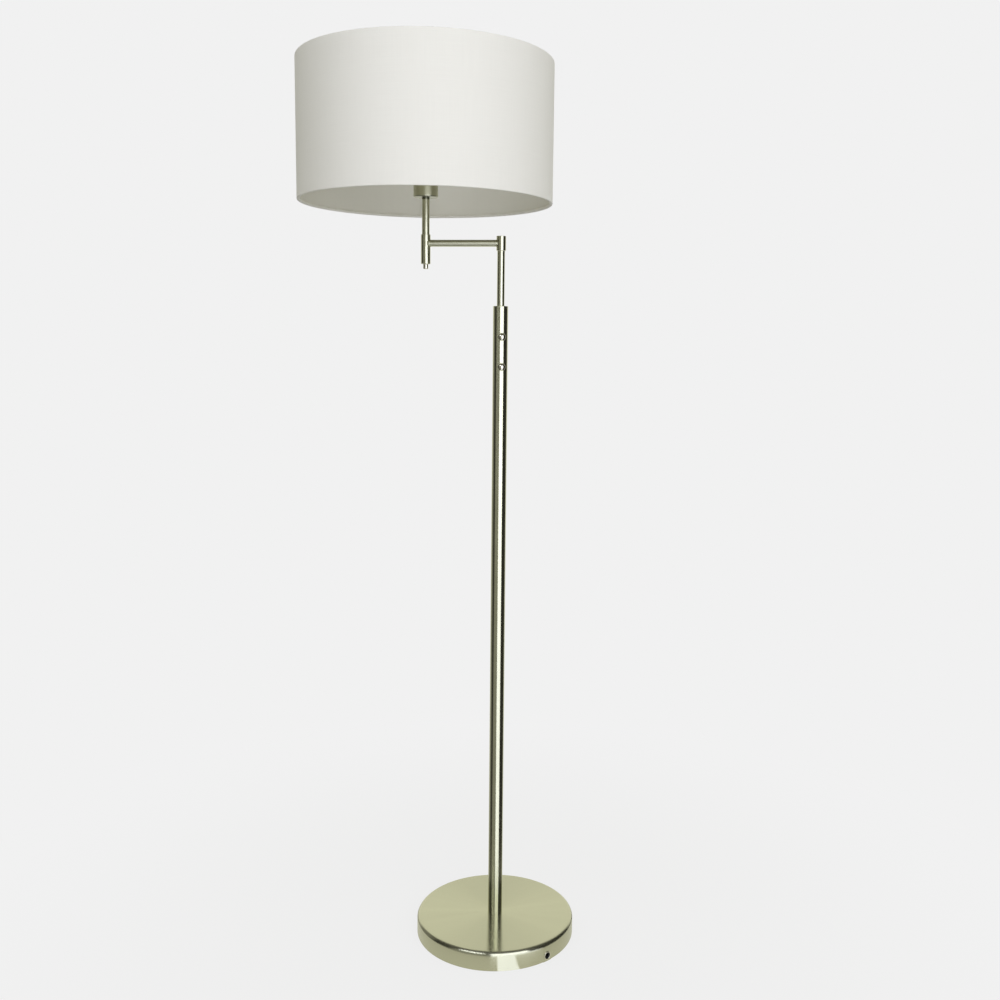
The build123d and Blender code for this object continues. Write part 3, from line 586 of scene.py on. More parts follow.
def sand_cast_iron(name):
    """Grey iron from a sand mould under a thin black dip: dull, with the pits of 0.5 mm sand grains."""
    looks = bpy.context.scene.lamp_finishes
    material, tree, shader = new_finish(name, IOR=1.5)
    sand = noise(tree, object_point(tree), 1400.0, 4.0)
    tree.links.new(tint(tree, sand, rgba(looks.iron, 0.7), rgba(looks.iron, 1.3)), shader.inputs["Base Color"])
    tree.links.new(spread(tree, sand, 0.55, 0.85), shader.inputs["Roughness"])
    bumped(tree, shader, sand, 0.25 * MM, 0.8)
    return material


def needled_felt(name):
    """Polyester felt, needled into a mat: dull, with crossing fibres and a soft sheen at grazing angles."""
    looks = bpy.context.scene.lamp_finishes
    material, tree, shader = new_finish(name, Roughness=0.95, IOR=1.45, Sheen_Weight=0.4, Sheen_Roughness=0.6)
    spot = object_point(tree)
    fibres = add_node(tree, "TexNoise", {"Vector": spot, "Scale": 900.0, "Detail": 5.0, "Distortion": 2.5})
    clumps = noise(tree, spot, 90.0, 2.0)
    both = add_node(tree, "Math", {0: fibres.outputs["Fac"], 1: clumps}, operation="MULTIPLY").outputs[0]
    shade = spread(tree, add_node(tree, "Math", {0: both, 1: 2.0}, operation="MULTIPLY").outputs[0], 0.0, 1.0)
    tree.links.new(tint(tree, shade, rgba(looks.felt, 0.6), rgba(looks.felt, 1.5)), shader.inputs["Base Color"])
    bumped(tree, shader, fibres.outputs["Fac"], 0.4 * MM, 0.9)
    return material


def moulded_plastic(name, colour, roughness):
    """A moulded thermoplastic: an even colour under the fine spark texture of its mould, 0.3 mm apart."""
    material, tree, shader = new_finish(name, IOR=1.5)
    spark = noise(tree, object_point(tree), 3200.0, 2.0)
    tree.links.new(tint(tree, spark, rgba(colour, 0.94), rgba(colour)), shader.inputs["Base Color"])
    tree.links.new(spread(tree, spark, roughness - 0.06, roughness + 0.08), shader.inputs["Roughness"])
    bumped(tree, shader, spark, 0.02 * MM, 0.5)
    return material


def turned_brass(name):
    """Free-cutting brass from the lathe: yellow, with tool rings 0.2 mm apart across its axis."""
    looks = bpy.context.scene.lamp_finishes
    material, tree, shader = new_finish(name, Metallic=1.0)
    rings = noise(tree, object_point(tree, scale=(40, 40, 5000)), 1.0, 2.0)
    tree.links.new(tint(tree, rings, rgba(looks.brass, 0.86), rgba(looks.brass)), shader.inputs["Base Color"])
    tree.links.new(spread(tree, rings, 0.18, 0.32), shader.inputs["Roughness"])
    bumped(tree, shader, rings, 0.02 * MM, 0.5)
    return material


def glazed_porcelain(name):
    """Pressed porcelain under a clear glaze: near white, glossy, with a slight ripple in the glaze."""
    looks = bpy.context.scene.lamp_finishes
    material, tree, shader = new_finish(name, Roughness=0.12, IOR=1.5, Coat_Weight=0.6, Coat_Roughness=0.05)
    ripple = noise(tree, object_point(tree), 260.0, 2.0)
    tree.links.new(tint(tree, ripple, rgba(looks.porcelain, 0.96), rgba(looks.porcelain)), shader.inputs["Base Color"])
    bumped(tree, shader, ripple, 0.05 * MM, 0.4)
    return material


def drawn_aluminium(name):
    """Thin aluminium drawn into a lamp cap: pale grey, with faint upright drawing marks."""
    looks = bpy.context.scene.lamp_finishes
    material, tree, shader = new_finish(name, Metallic=1.0)
    marks = noise(tree, object_point(tree, scale=(2500, 2500, 60)), 1.0, 2.0)
    tree.links.new(tint(tree, marks, rgba(looks.cap, 0.88), rgba(looks.cap)), shader.inputs["Base Color"])
    tree.links.new(spread(tree, marks, 0.22, 0.36), shader.inputs["Roughness"])
    return material


def opal_glass(name):
    """Blown glass with a white silica coat inside: milky, evenly pale, with a clear gloss outside."""
    looks = bpy.context.scene.lamp_finishes
    material, tree, shader = new_finish(
        name, Roughness=0.12, IOR=1.5, Subsurface_Weight=0.3, Subsurface_Scale=0.002, Subsurface_Radius=(1, 1, 1)
    )
    coat = noise(tree, object_point(tree), 45.0, 3.0)
    tree.links.new(tint(tree, coat, rgba(looks.opal, 0.97), rgba(looks.opal)), shader.inputs["Base Color"])
    return material


def powder_coat(name):
    """White polyester powder, baked: a satin gloss over the orange-peel ripple of 1 mm."""
    looks = bpy.context.scene.lamp_finishes
    material, tree, shader = new_finish(name, IOR=1.5)
    peel = noise(tree, object_point(tree), 1100.0, 2.0)
    tree.links.new(tint(tree, peel, rgba(looks.wire, 0.96), rgba(looks.wire)), shader.inputs["Base Color"])
    tree.links.new(spread(tree, peel, 0.3, 0.42), shader.inputs["Roughness"])
    bumped(tree, shader, peel, 0.03 * MM, 0.5)
    return material


def laminated_cloth(name):
    """Plain-woven cotton and polyester cloth on a stiff sheet: matt, even, with crossing threads.

    The threads run up and round the shade. The piece's own map gives the way round and the height in
    metres, so the weave follows the surface. Each thread varies a little in thickness and tone.
    """
    looks, sizes = bpy.context.scene.lamp_finishes, bpy.context.scene.lamp_sizes
    material, tree, shader = new_finish(name, Roughness=0.85, IOR=1.45, Sheen_Weight=0.15, Sheen_Roughness=0.4)
    flat = add_node(tree, "UVMap", uv_map="cloth").outputs["UV"]
    # A wave of scale 1 repeats every 2 pi / 20 of a unit
    wave_scale = 2 * pi / 20 / sizes.thread_spacing
    heights = []
    for direction, way in (("X", (3.0, 260.0, 1)), ("Y", (260.0, 3.0, 1))):
        threads = add_node(
            tree, "TexWave", {"Vector": flat, "Scale": wave_scale, "Distortion": 0.0}, bands_direction=direction
        )
        stretch = add_node(tree, "VectorMath", {0: flat, 1: way}, operation="MULTIPLY").outputs[0]
        slub = noise(tree, stretch, 4.0, 2.0)
        heights.append((threads.outputs["Fac"], slub))
    (warp, warp_slub), (weft, weft_slub) = heights
    woven = add_node(tree, "Math", {0: warp, 1: weft}, operation="MULTIPLY").outputs[0]
    slubs = add_node(tree, "Math", {0: warp_slub, 1: weft_slub}, operation="ADD").outputs[0]
    even = add_node(tree, "Math", {0: slubs, 1: 0.5}, operation="MULTIPLY").outputs[0]
    tree.links.new(
        tint(tree, spread(tree, even, 0.0, 1.0), rgba(looks.cloth, 0.965), rgba(looks.cloth)), shader.inputs["Base Color"]
    )
    relief = add_node(tree, "Math", {0: woven, 1: slubs}, operation="ADD").outputs[0]
    bumped(tree, shader, relief, 0.05 * MM, 0.6)
    return material


def styrene_lining(name):
    """Rigid styrene sheet, calendered: off-white with a low satin gloss and faint upright roll marks."""
    looks = bpy.context.scene.lamp_finishes
    material, tree, shader = new_finish(name, IOR=1.5)
    marks = noise(tree, object_point(tree, scale=(160, 160, 6)), 1.0, 2.0)
    tree.links.new(tint(tree, marks, rgba(looks.lining, 0.97), rgba(looks.lining)), shader.inputs["Base Color"])
    tree.links.new(spread(tree, marks, 0.5, 0.62), shader.inputs["Roughness"])
    return material


# ---------------------------------------------------------------- operators


def joint_of(body):
    """The joint that moves a body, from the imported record."""
    return next(joint for joint in frame["joints"] if joint["child"] == body)


class LAMP_OT_stage(Operator):
    """Lay the floor, hang the soft boxes, set the ambient light and place the camera"""

    bl_idname = "lamp.stage"
    bl_label = "Stage"

    def execute(self, context):
        stage = context.scene.lamp_stage
        context.scene.view_settings.view_transform = "Standard"
        turn = Matrix.Rotation(stage.bearing, 4, "Z")
        self.add_camera(context, stage, turn)
        self.add_soft_box(context, "key", turn, KEY_BOX, stage.key)
        self.add_soft_box(context, "fill", turn, FILL_BOX, stage.fill)
        self.add_floor(context, stage, turn)
        self.set_world(context, stage, turn)
        return {"FINISHED"}

    def add_camera(self, context, stage, turn):
        """The camera looks along +Y, panned, pitched and rolled, and is then turned round the column."""
        ahead = Vector(
            (sin(stage.pan) * cos(stage.pitch), cos(stage.pan) * cos(stage.pitch), sin(stage.pitch))
        )
        right = ahead.cross(UP).normalized()
        above = right.cross(ahead)
        across = cos(stage.roll) * right + sin(stage.roll) * above
        over = cos(stage.roll) * above - sin(stage.roll) * right
        place = Matrix((across, over, -ahead)).transposed().to_4x4()
        place.translation = (0, -stage.distance, stage.height)
        camera = bpy.data.cameras.new("camera")
        camera.sensor_width = 36
        camera.lens = stage.lens
        camera.shift_x, camera.shift_y = stage.shift_across, stage.shift_up
        camera.clip_end = 50
        holder = bpy.data.objects.new("camera", camera)
        holder.matrix_world = turn @ place
        context.scene.collection.objects.link(holder)
        context.scene.camera = holder

    def add_soft_box(self, context, name, turn, box, power):
        """A soft box at a bearing from the camera's, a distance and a height, aimed at the lamp."""
        bearing, reach, height, aim, width, tall = box
        light = bpy.data.lights.new(name, "AREA")
        light.shape = "RECTANGLE"
        light.size, light.size_y = width, tall
        light.energy = power
        light.color = context.scene.lamp_stage.daylight
        lamp = bpy.data.objects.new(name, light)
        spot = Vector((reach * sin(radians(bearing)), -reach * cos(radians(bearing)), height))
        facing = (spot - Vector((0, 0, aim))).to_track_quat("Z", "Y").to_matrix().to_4x4()
        facing.translation = spot
        lamp.matrix_world = turn @ facing
        context.scene.collection.objects.link(lamp)

    def add_floor(self, context, stage, turn):
        """A pale round floor whose shadow fades into the even backdrop away from the lamp.

        In gloss it mirrors the studio: the walls, and the key light in a pool that is narrow beside the base.
        """
        edge = 6.0
        angle = np.linspace(0, 2 * pi, 128, endpoint=False)
        rim = np.stack([edge * np.cos(angle), edge * np.sin(angle), 0 * angle - 0.0002], axis=1)
        mesh = bpy.data.meshes.new("floor")
        mesh.from_pydata(rim.tolist(), [], [list(range(len(rim)))])
        floor = bpy.data.objects.new("floor", mesh)
        context.scene.collection.objects.link(floor)
        material = bpy.data.materials.new("pale floor")
        material.use_nodes = True
        tree = material.node_tree
        tree.nodes.clear()
        path = add_node(tree, "LightPath")
        spot = add_node(tree, "TexCoord").outputs["Object"]
        reach = add_node(tree, "VectorMath", {0: spot}, operation="LENGTH").outputs["Value"]
        near = add_node(
            tree, "MapRange", {"Value": reach, **ramp(0.2, 1.1, 0.9, 1.0)}, interpolation_type="SMOOTHSTEP"
        )
        direct = add_node(
            tree, "Math", {0: path.outputs["Is Camera Ray"], 1: path.outputs["Is Transmission Ray"]}, operation="MAXIMUM"
        ).outputs[0]
        gloss = path.outputs["Is Glossy Ray"]
        outward = add_node(tree, "VectorMath", {0: spot}, operation="NORMALIZE").outputs[0]
        near_pool = self.window(tree, turn, outward, *NEAR_POOL)
        close = add_node(tree, "Math", {0: near_pool, 1: stage.board}, operation="MAXIMUM").outputs[0]
        far = self.window(tree, turn, outward, *FAR_POOL)
        for bearing, side, full, _, _, strength in WALLS:
            wall = self.window(tree, turn, outward, bearing, side, full, strength)
            far = add_node(tree, "Math", {0: far, 1: wall}, operation="MAXIMUM").outputs[0]
        far = add_node(tree, "Math", {0: far, 1: stage.dim}, operation="MAXIMUM").outputs[0]
        beyond = add_node(
            tree, "MapRange", {"Value": reach, **ramp(0.2, 0.23, 0.0, 1.0)}, interpolation_type="SMOOTHSTEP"
        ).outputs[0]
        mirrored = add_node(tree, "Mix", {"Factor": beyond, 2: close, 3: far}).outputs[0]
        strength = add_node(tree, "Math", {0: gloss, 1: mirrored, 2: direct}, operation="MULTIPLY_ADD").outputs[0]
        even = add_node(tree, "Math", {0: direct, 1: near.outputs[0], 2: gloss}, operation="MULTIPLY_ADD").outputs[0]
        grey = add_node(tree, "MapRange", {"Value": direct, **ramp(0, 1, 0.55, 0.95)}).outputs[0]
        lit = add_node(tree, "BsdfDiffuse", {"Color": grey})
        bright = add_node(tree, "MapRange", {"Value": mirrored, **ramp(stage.board, NEAR_POOL[-1], 0.0, 1.0)})
        shine = tint(tree, bright.outputs[0], rgba(stage.walls), rgba(stage.daylight))
        colour = tint(tree, gloss, rgba(stage.backdrop), shine)
        plain = add_node(tree, "Emission", {"Color": colour, "Strength": strength})
        mixed = add_node(tree, "MixShader", {0: even, 1: lit.outputs[0], 2: plain.outputs[0]})
        add_node(tree, "OutputMaterial", {"Surface": mixed.outputs[0]})
        mesh.materials.append(material)

    def window(self, tree, turn, way, bearing, side, full, strength):
        """Light round a bearing: strength × a smooth step of the cosine of a level direction from it."""
        facing = turn @ Vector((sin(radians(bearing)), -cos(radians(bearing)), 0))
        toward = add_node(tree, "VectorMath", {0: way, 1: tuple(facing)}, operation="DOT_PRODUCT")
        return add_node(
            tree,
            "MapRange",
            {"Value": toward.outputs["Value"], **ramp(cos(radians(side)), cos(radians(full)), 0.0, strength)},
            interpolation_type="SMOOTHSTEP",
        ).outputs[0]

    def set_world(self, context, stage, turn):
        """Even light for dull surfaces, and for gloss a studio: pale behind the lamp, dim beside it.

        A wall's light is its strength × a smooth step of the cosine from its own bearing × smooth steps
        of the height, so it fades out to its sides, upward and downward.
        """
        world = bpy.data.worlds.new("studio")
        world.use_nodes = True
        context.scene.world = world
        tree = world.node_tree
        tree.nodes.clear()
        path = add_node(tree, "LightPath")
        way = add_node(tree, "TexCoord").outputs["Generated"]
        level_way = add_node(tree, "VectorMath", {0: way, 1: (1, 1, 0)}, operation="MULTIPLY")
        level_way = add_node(tree, "VectorMath", {0: level_way.outputs[0]}, operation="NORMALIZE").outputs[0]
        height = add_node(tree, "SeparateXYZ", {"Vector": way}).outputs["Z"]
        light = add_node(tree, "MapRange", {"Value": height, **ramp(0.35, 0.9, stage.dim, stage.ceiling)}).outputs["Result"]
        for bearing, side, full, top_from, top_to, strength in WALLS:
            wall = self.window(tree, turn, level_way, bearing, side, full, strength)
            low = add_node(
                tree,
                "MapRange",
                {"Value": height, **ramp(sin(radians(top_from)), sin(radians(top_to)), 1.0, 0.0)},
                interpolation_type="SMOOTHSTEP",
            )
            part = add_node(tree, "Math", {0: wall, 1: low.outputs[0]}, operation="MULTIPLY")
            light = add_node(tree, "Math", {0: light, 1: part.outputs[0]}, operation="MAXIMUM").outputs[0]
        studio = add_node(tree, "Background", {"Color": rgba(stage.walls), "Strength": light})
        behind = self.window(tree, turn, level_way, *BACK_WALL)
        soft = add_node(tree, "Math", {0: behind, 1: stage.ambient}, operation="ADD").outputs[0]
        even = add_node(tree, "Background", {"Color": rgba(stage.walls), "Strength": soft})
        plain = add_node(tree, "Background", {"Color": rgba(stage.backdrop), "Strength": 1.0})
        gloss = add_node(tree, "MixShader", {0: path.outputs["Is Glossy Ray"], 1: even.outputs[0], 2: studio.outputs[0]})
        seen = add_node(
            tree, "Math", {0: path.outputs["Is Camera Ray"], 1: path.outputs["Is Transmission Ray"]}, operation="MAXIMUM"
        )
        mixed = add_node(tree, "MixShader", {0: seen.outputs[0], 1: gloss.outputs[0], 2: plain.outputs[0]})
        add_node(tree, "OutputWorld", {"Surface": mixed.outputs[0]})


class LAMP_OT_base(Operator):
    """Spin the base's cover and set the ring and bush of the cord outlet in its side"""

    bl_idname = "lamp.base"
    bl_label = "Base"

    def execute(self, context):
        looks = context.scene.lamp_finishes
        _, radius, low, high = extent("base_cover")
        bore = extent("foot_nipple")[1] + FIT
        outlet = next(mount for mount in frame["record"]["mounts"] if mount["name"] == "cord_outlet")
        outward = Vector(outlet["axis"]).normalized()
        angle = atan2(outward.y, outward.x)
        height = outlet["pos_m"][2]
        wall = 1.2 * MM
        edge = 7 * MM
        outline = rounded(
            [
                (bore, high, 0.2 * MM),
                (radius, high, edge),
                (radius, low, 0.5 * MM),
                (radius - wall, low, 0.5 * MM),
                (radius - wall, high - wall, edge - wall),
                (bore, high - wall, 0.2 * MM),
            ],
            steps=14,
        )
        drill = Drill(angle, 6.25 * MM, 10 * MM, 5, 5)
        cover = pierced("base_shell", outline, drill, [height], turns=480)
        finish_piece(
            cover, "stand", "satin_nickel", brushed_nickel("satin nickel, spun base", (0, 0, 0), flat=True), "base_cover"
        )
        bore, sleeve, lip = 5.6 * MM, 6.2 * MM, 7.4 * MM
        inner, seat, front = radius - 4 * MM, radius + FIT, radius + 0.9 * MM
        outline = rounded(
            [
                (bore, inner, 0.05 * MM),
                (sleeve, inner, 0.05 * MM),
                (sleeve, seat, 0.02 * MM),
                (lip, seat, 0.1 * MM),
                (lip, front, 0.6 * MM),
                (bore, front, 0.6 * MM),
            ],
            steps=7,
        )
        foot = (0, 0, height)
        ring = turned("outlet_ring", outline, foot, outward, turns=72)
        finish_piece(ring, "stand", "polished_nickel", polished_nickel("polished nickel, eyelet"), "outlet_eyelet")
        outline = rounded(
            [
                (3.75 * MM, radius - 8 * MM, 0.4 * MM),
                (5.55 * MM, radius - 8 * MM, 0.4 * MM),
                (5.55 * MM, radius, 0.1 * MM),
                (3.75 * MM, radius, 1.3 * MM),
            ]
        )
        bush = turned("outlet_bush", outline, foot, outward, turns=48)
        finish_piece(bush, "stand", "black_plastic", moulded_plastic("black PVC bush", looks.black, 0.45), "cord_bush")
        return {"FINISHED"}


class LAMP_OT_column(Operator):
    """Build the column and the ring on its top, drilled for the clamp screws"""

    bl_idname = "lamp.column"
    bl_label = "Column"

    def execute(self, context):
        _, radius, low, high = extent("column_tube")
        top = extent("guide_sleeve")[3]
        wall = 1.2 * MM
        outward = joint_of("upper_screw")["axis"]
        heights = [joint_of(body)["pos_m"][2] for body in ("upper_screw", "lower_screw")]
        angle = atan2(outward[1], outward[0])
        outline = rounded(
            [
                (radius - wall, low, 0.1 * MM),
                (radius, low, 0.15 * MM),
                (radius, high, 0.15 * MM),
                (radius - wall, high, 0.1 * MM),
            ]
        )
        metal = brushed_nickel("satin nickel, column", (0, 0, 0))
        column = pierced("column", outline, Drill(angle, 2.9 * MM, 4.7 * MM, 6, 6), heights)
        finish_piece(column, "stand", "satin_nickel", metal, "column_tube")
        sleeve, bore = radius - wall - FIT, extent("riser_tube")[1] + 0.1 * MM
        outline = rounded(
            [
                (bore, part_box("guide_sleeve")[0].z, 0.3 * MM),
                (sleeve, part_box("guide_sleeve")[0].z, 0.3 * MM),
                (sleeve, high, 0.02 * MM),
                (radius, high, 0.15 * MM),
                (radius, top, 0.8 * MM),
                (bore, top, 0.35 * MM),
            ]
        )
        ring = pierced("column_top_ring", outline, Drill(angle, 2.55 * MM, 4 * MM, 6, 7), heights)
        finish_piece(ring, "stand", "satin_nickel", metal, "guide_sleeve")
        return {"FINISHED"}


class LAMP_OT_clamp_screws(Operator):
    """Turn the two clamp screws, with a knurled grip under a polished dome"""

    bl_idname = "lamp.clamp_screws"
    bl_label = "Clamp screws"

    def execute(self, context):
        sizes = context.scene.lamp_sizes
        metal = polished_nickel("polished nickel, screws", 0.15)
        column = extent("column_tube")[1]
        for body, node in (("upper_screw", "clamp_screw_upper"), ("lower_screw", "clamp_screw_lower")):
            low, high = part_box(node)
            joint = joint_of(body)
            outward = Vector(joint["axis"])
            head = (high.z - low.z) / 2
            shank, neck = 2.5 * MM, 3.7 * MM
            tip = extent("riser_tube")[1] + 0.3 * MM
            seat = column + 0.15 * MM
            under = seat + 0.85 * MM
            dome = under + 4.0 * MM
            rise = 3.6 * MM
            ball = (head**2 + rise**2) / (2 * rise)
            swing = np.linspace(0, np.arcsin(head / ball), 14)[1:]
            crown = np.stack([ball * np.sin(swing), dome + rise - ball + ball * np.cos(swing)], axis=1)
            grip = np.linspace(dome, under + 0.3 * MM, 20)[1:]
            side = np.stack([np.full(len(grip), head), grip], axis=1)
            rest = [
                (head - 0.3 * MM, under),
                (neck, under),
                (neck, seat),
                (shank, seat),
                (shank, tip + 0.3 * MM),
                (shank - 0.3 * MM, tip),
                (0, tip),
            ]
            outline = np.vstack([[(0, dome + rise)], crown, side, rest])

            def knurl(angle, radius, height):
                """Ridges: depth × (1 - cosine of their count × angle) / 2, fading out at the grip's ends."""
                reach = wavy_step(height, under, under + 0.8 * MM) * wavy_step(-height, -dome, 0.8 * MM - dome)
                wave = (1 - np.cos(sizes.knurl_count * angle)) / 2
                return -sizes.knurl_depth * wave * reach * (radius > neck)

            screw = turned(
                "upper_clamp_screw" if body == "upper_screw" else "lower_clamp_screw",
                outline,
                tuple(joint["pos_m"]),
                outward,
                turns=6 * sizes.knurl_count,
                relief=knurl,
            )
            finish_piece(screw, body, "polished_nickel", metal, node)
        return {"FINISHED"}


class LAMP_OT_riser(Operator):
    """Draw the riser that slides in the column"""

    bl_idname = "lamp.riser"
    bl_label = "Riser"

    def execute(self, context):
        _, radius, low, high = extent("riser_tube")
        outline = tube_outline(radius, 1 * MM, low, high)
        metal = brushed_nickel("satin nickel, riser", (0, 0, 0), coarse=0.8)
        finish_piece(turned("riser", outline), "riser", "satin_nickel", metal, "riser_tube")
        dress(metal, "riser_spigot")
        return {"FINISHED"}


class LAMP_OT_arm(Operator):
    """Braze the arm between the elbow and the head, and plug the elbow's top"""

    bl_idname = "lamp.arm"
    bl_label = "Arm"

    def execute(self, context):
        sizes = context.scene.lamp_sizes
        _, sleeve, low, high = extent("elbow_sleeve")
        centre, _, head_low, head_high = extent("head_sleeve")
        arm_low, arm_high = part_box("arm_tube")
        level = (arm_low.z + arm_high.z) / 2
        reach = (arm_high.z - arm_low.z) / 2
        socket, floor = 6.4 * MM, 3 * MM
        journal = 4.1 * MM
        outline = rounded(
            [
                (journal, low, 0.1 * MM),
                (sleeve, low, 0.35 * MM),
                (sleeve, high, 0.35 * MM),
                (socket, high, 0.1 * MM),
                (socket, low + floor, 0.1 * MM),
                (journal, low + floor, 0.1 * MM),
            ]
        )
        metal = brushed_nickel("satin nickel, elbow", (0, 0, 0))
        elbow = pierced("elbow", outline, Drill(pi, reach + FIT, 6.7 * MM, 8, 20), [level])
        finish_piece(elbow, "arm", "satin_nickel", metal, "elbow_sleeve")
        _, plug, plug_low, plug_high = extent("elbow_cap")
        plug_high -= 0.15 * MM
        outline = rounded(
            [(0, plug_low, 0), (plug, plug_low, 0.1 * MM), (plug, plug_high, 0.45 * MM), (0, plug_high, 0)]
        )
        cap = turned("elbow_plug", outline)
        finish_piece(cap, "arm", "satin_nickel", brushed_nickel("satin nickel, plug", (0, 0, 0), flat=True), "elbow_cap")
        bores = (socket, 5.2 * MM)
        tube = self.saddled_tube(level, reach, 1 * MM, bores, centre[0])
        middle = ((arm_low + arm_high) / 2)[:]
        along = brushed_nickel("satin nickel, arm", middle, (1, 0, 0), roughness=0.38, anisotropic=0.95)
        finish_piece(tube, "arm", "satin_nickel", along, "arm_tube")
        for name, foot, outward in (("elbow_braze", 0.0, -1), ("head_braze", centre[0], 1)):
            bead = self.saddle_bead(name, level, reach, sleeve, foot, outward, sizes.bead)
            finish_piece(bead, "arm", "satin_nickel", silver_braze("silver braze"))
        self.add_head(centre, sleeve, head_low, head_high, level, reach, socket)
        return {"FINISHED"}

    def saddled_tube(self, level, radius, wall, bores, far):
        """A level tube whose ends follow the sleeves' bores.

        A point at angle a on a wall of radius p lies at y = p cos a, z = level + p sin a. It runs in x from
        -root(bore² - y²) at the elbow to far + root(bore² - y²) at the head.
        """
        angle = np.linspace(0, 2 * pi, 96, endpoint=False)[None, :]
        share = np.concatenate([np.linspace(0, 1, 24), np.linspace(1, 0, 24)])[:, None]
        reach = np.repeat([radius, radius - wall], 24)[:, None]
        across, up = reach * np.cos(angle), reach * np.sin(angle)
        near = -np.sqrt(np.maximum(bores[0] ** 2 - across**2, 0))
        end = far + np.sqrt(np.maximum(bores[1] ** 2 - across**2, 0))
        points = np.stack([near + (end - near) * share, across + 0 * share, level + up + 0 * share], axis=-1)
        return make_piece("arm", points, grid_faces(48, 96))

    def saddle_bead(self, name, level, radius, sleeve, foot, outward, bead):
        """A round bead along the line where the arm meets a sleeve: x = foot ± root(sleeve² - y²)."""
        angle = np.linspace(0, 2 * pi, 96, endpoint=False)
        across, up = radius * np.cos(angle), radius * np.sin(angle)
        path = np.stack([foot + outward * np.sqrt(sleeve**2 - across**2), across, level + up], axis=1)
        return swept(name, path, bead, (1, 0, 0), sides=12, closed=True)

    def add_head(self, centre, sleeve, low, high, level, reach, socket):
        """The head's sleeve: sockets for the switch below and the stem above, and the arm's hole between."""
        bore = 5.2 * MM
        stem_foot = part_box("stem_tube")[0].z
        switch_top = extent("switch_body")[3]
        outline = rounded(
            [
                (socket, low, 0.1 * MM),
                (sleeve, low, 0.35 * MM),
                (sleeve, high, 0.35 * MM),
                (socket, high, 0.1 * MM),
                (socket, stem_foot, 0.05 * MM),
                (bore, stem_foot, 0.05 * MM),
                (bore, switch_top, 0.05 * MM),
                (socket, switch_top, 0.05 * MM),
            ]
        )
        head = pierced("head", outline, Drill(0.0, reach + FIT, 6.1 * MM, 8, 27), [level], centre)
        finish_piece(head, "arm", "satin_nickel", brushed_nickel("satin nickel, head", centre), "head_sleeve")


class LAMP_OT_switch(Operator):
    """Turn the rotary switch's bush and knob"""

    bl_idname = "lamp.switch"
    bl_label = "Switch"

    def execute(self, context):
        centre, radius, low, high = extent("switch_bush")
        metal = polished_nickel("polished nickel, switch", 0.24)
        bore = extent("switch_spindle")[1] + 0.1 * MM
        outline = rounded(
            [
                (bore, low, 0.3 * MM),
                (radius, low, 0.3 * MM),
                (radius, high, 0.1 * MM),
                (bore, high, 0.1 * MM),
            ]
        )
        bush = turned("switch_ring", outline, centre)
        finish_piece(bush, "arm", "polished_nickel", metal, "switch_bush")
        centre, radius, low, high = extent("switch_knob")
        bore, depth = extent("switch_spindle")[1] + FIT, 6.5 * MM
        outline = rounded(
            [
                (0, low, 0),
                (radius, low, 1.2 * MM),
                (radius, high, 0.3 * MM),
                (bore, high, 0.1 * MM),
                (bore, high - depth, 0.05 * MM),
                (0, high - depth, 0),
            ],
            steps=8,
        )
        knob = turned("knob", outline, centre)
        finish_piece(knob, "knob", "polished_nickel", metal, "switch_knob")
        return {"FINISHED"}


class LAMP_OT_stem(Operator):
    """Draw the stem and press the lampholder's cup, with a darkened sleeve under the cup as painted shade"""

    bl_idname = "lamp.stem"
    bl_label = "Stem and cup"

    def execute(self, context):
        centre, radius, low, high = extent("stem_tube")
        metal = brushed_nickel("satin nickel, stem", centre, coarse=0.8)
        finish_piece(
            turned("stem", tube_outline(radius, 1 * MM, low, high), centre), "arm", "satin_nickel", metal, "stem_tube"
        )
        # Painted shade: a thin sleeve of darkened nickel round the stem's top, where the cup shades it
        thick, deep = 0.15 * MM, 3.2 * MM
        outline = tube_outline(radius + thick, thick - 0.02 * MM, high - deep, high - FIT)
        dark = brushed_nickel("dark nickel, painted_shade_sleeve", centre, share=0.4)
        finish_piece(turned("stem_painted_shade", outline, centre), "arm", "satin_nickel", dark)
        centre, radius, low, high = extent("holder_cup")
        wall = 0.8 * MM
        hole = extent("stem_nipple")[1] + FIT
        outline = rounded(
            [
                (hole, low, 0.1 * MM),
                (radius, low, 2 * MM),
                (radius, high, 0.3 * MM),
                (radius - wall, high, 0.3 * MM),
                (radius - wall, low + wall, 1.2 * MM),
                (hole, low + wall, 0.1 * MM),
            ],
            steps=8,
        )
        cup = turned("cup", outline, centre, turns=144)
        # Painted shade: the cup's colour is half the plate's on its underside and rises to full up its rounded lower
        # edge
        dull = (low + 0.4 * MM, low + 2.2 * MM)
        metal = brushed_nickel("satin nickel, cup", centre, roughness=0.36, anisotropic=0.5, dull=dull)
        finish_piece(cup, "arm", "satin_nickel", metal, "holder_cup")
        return {"FINISHED"}


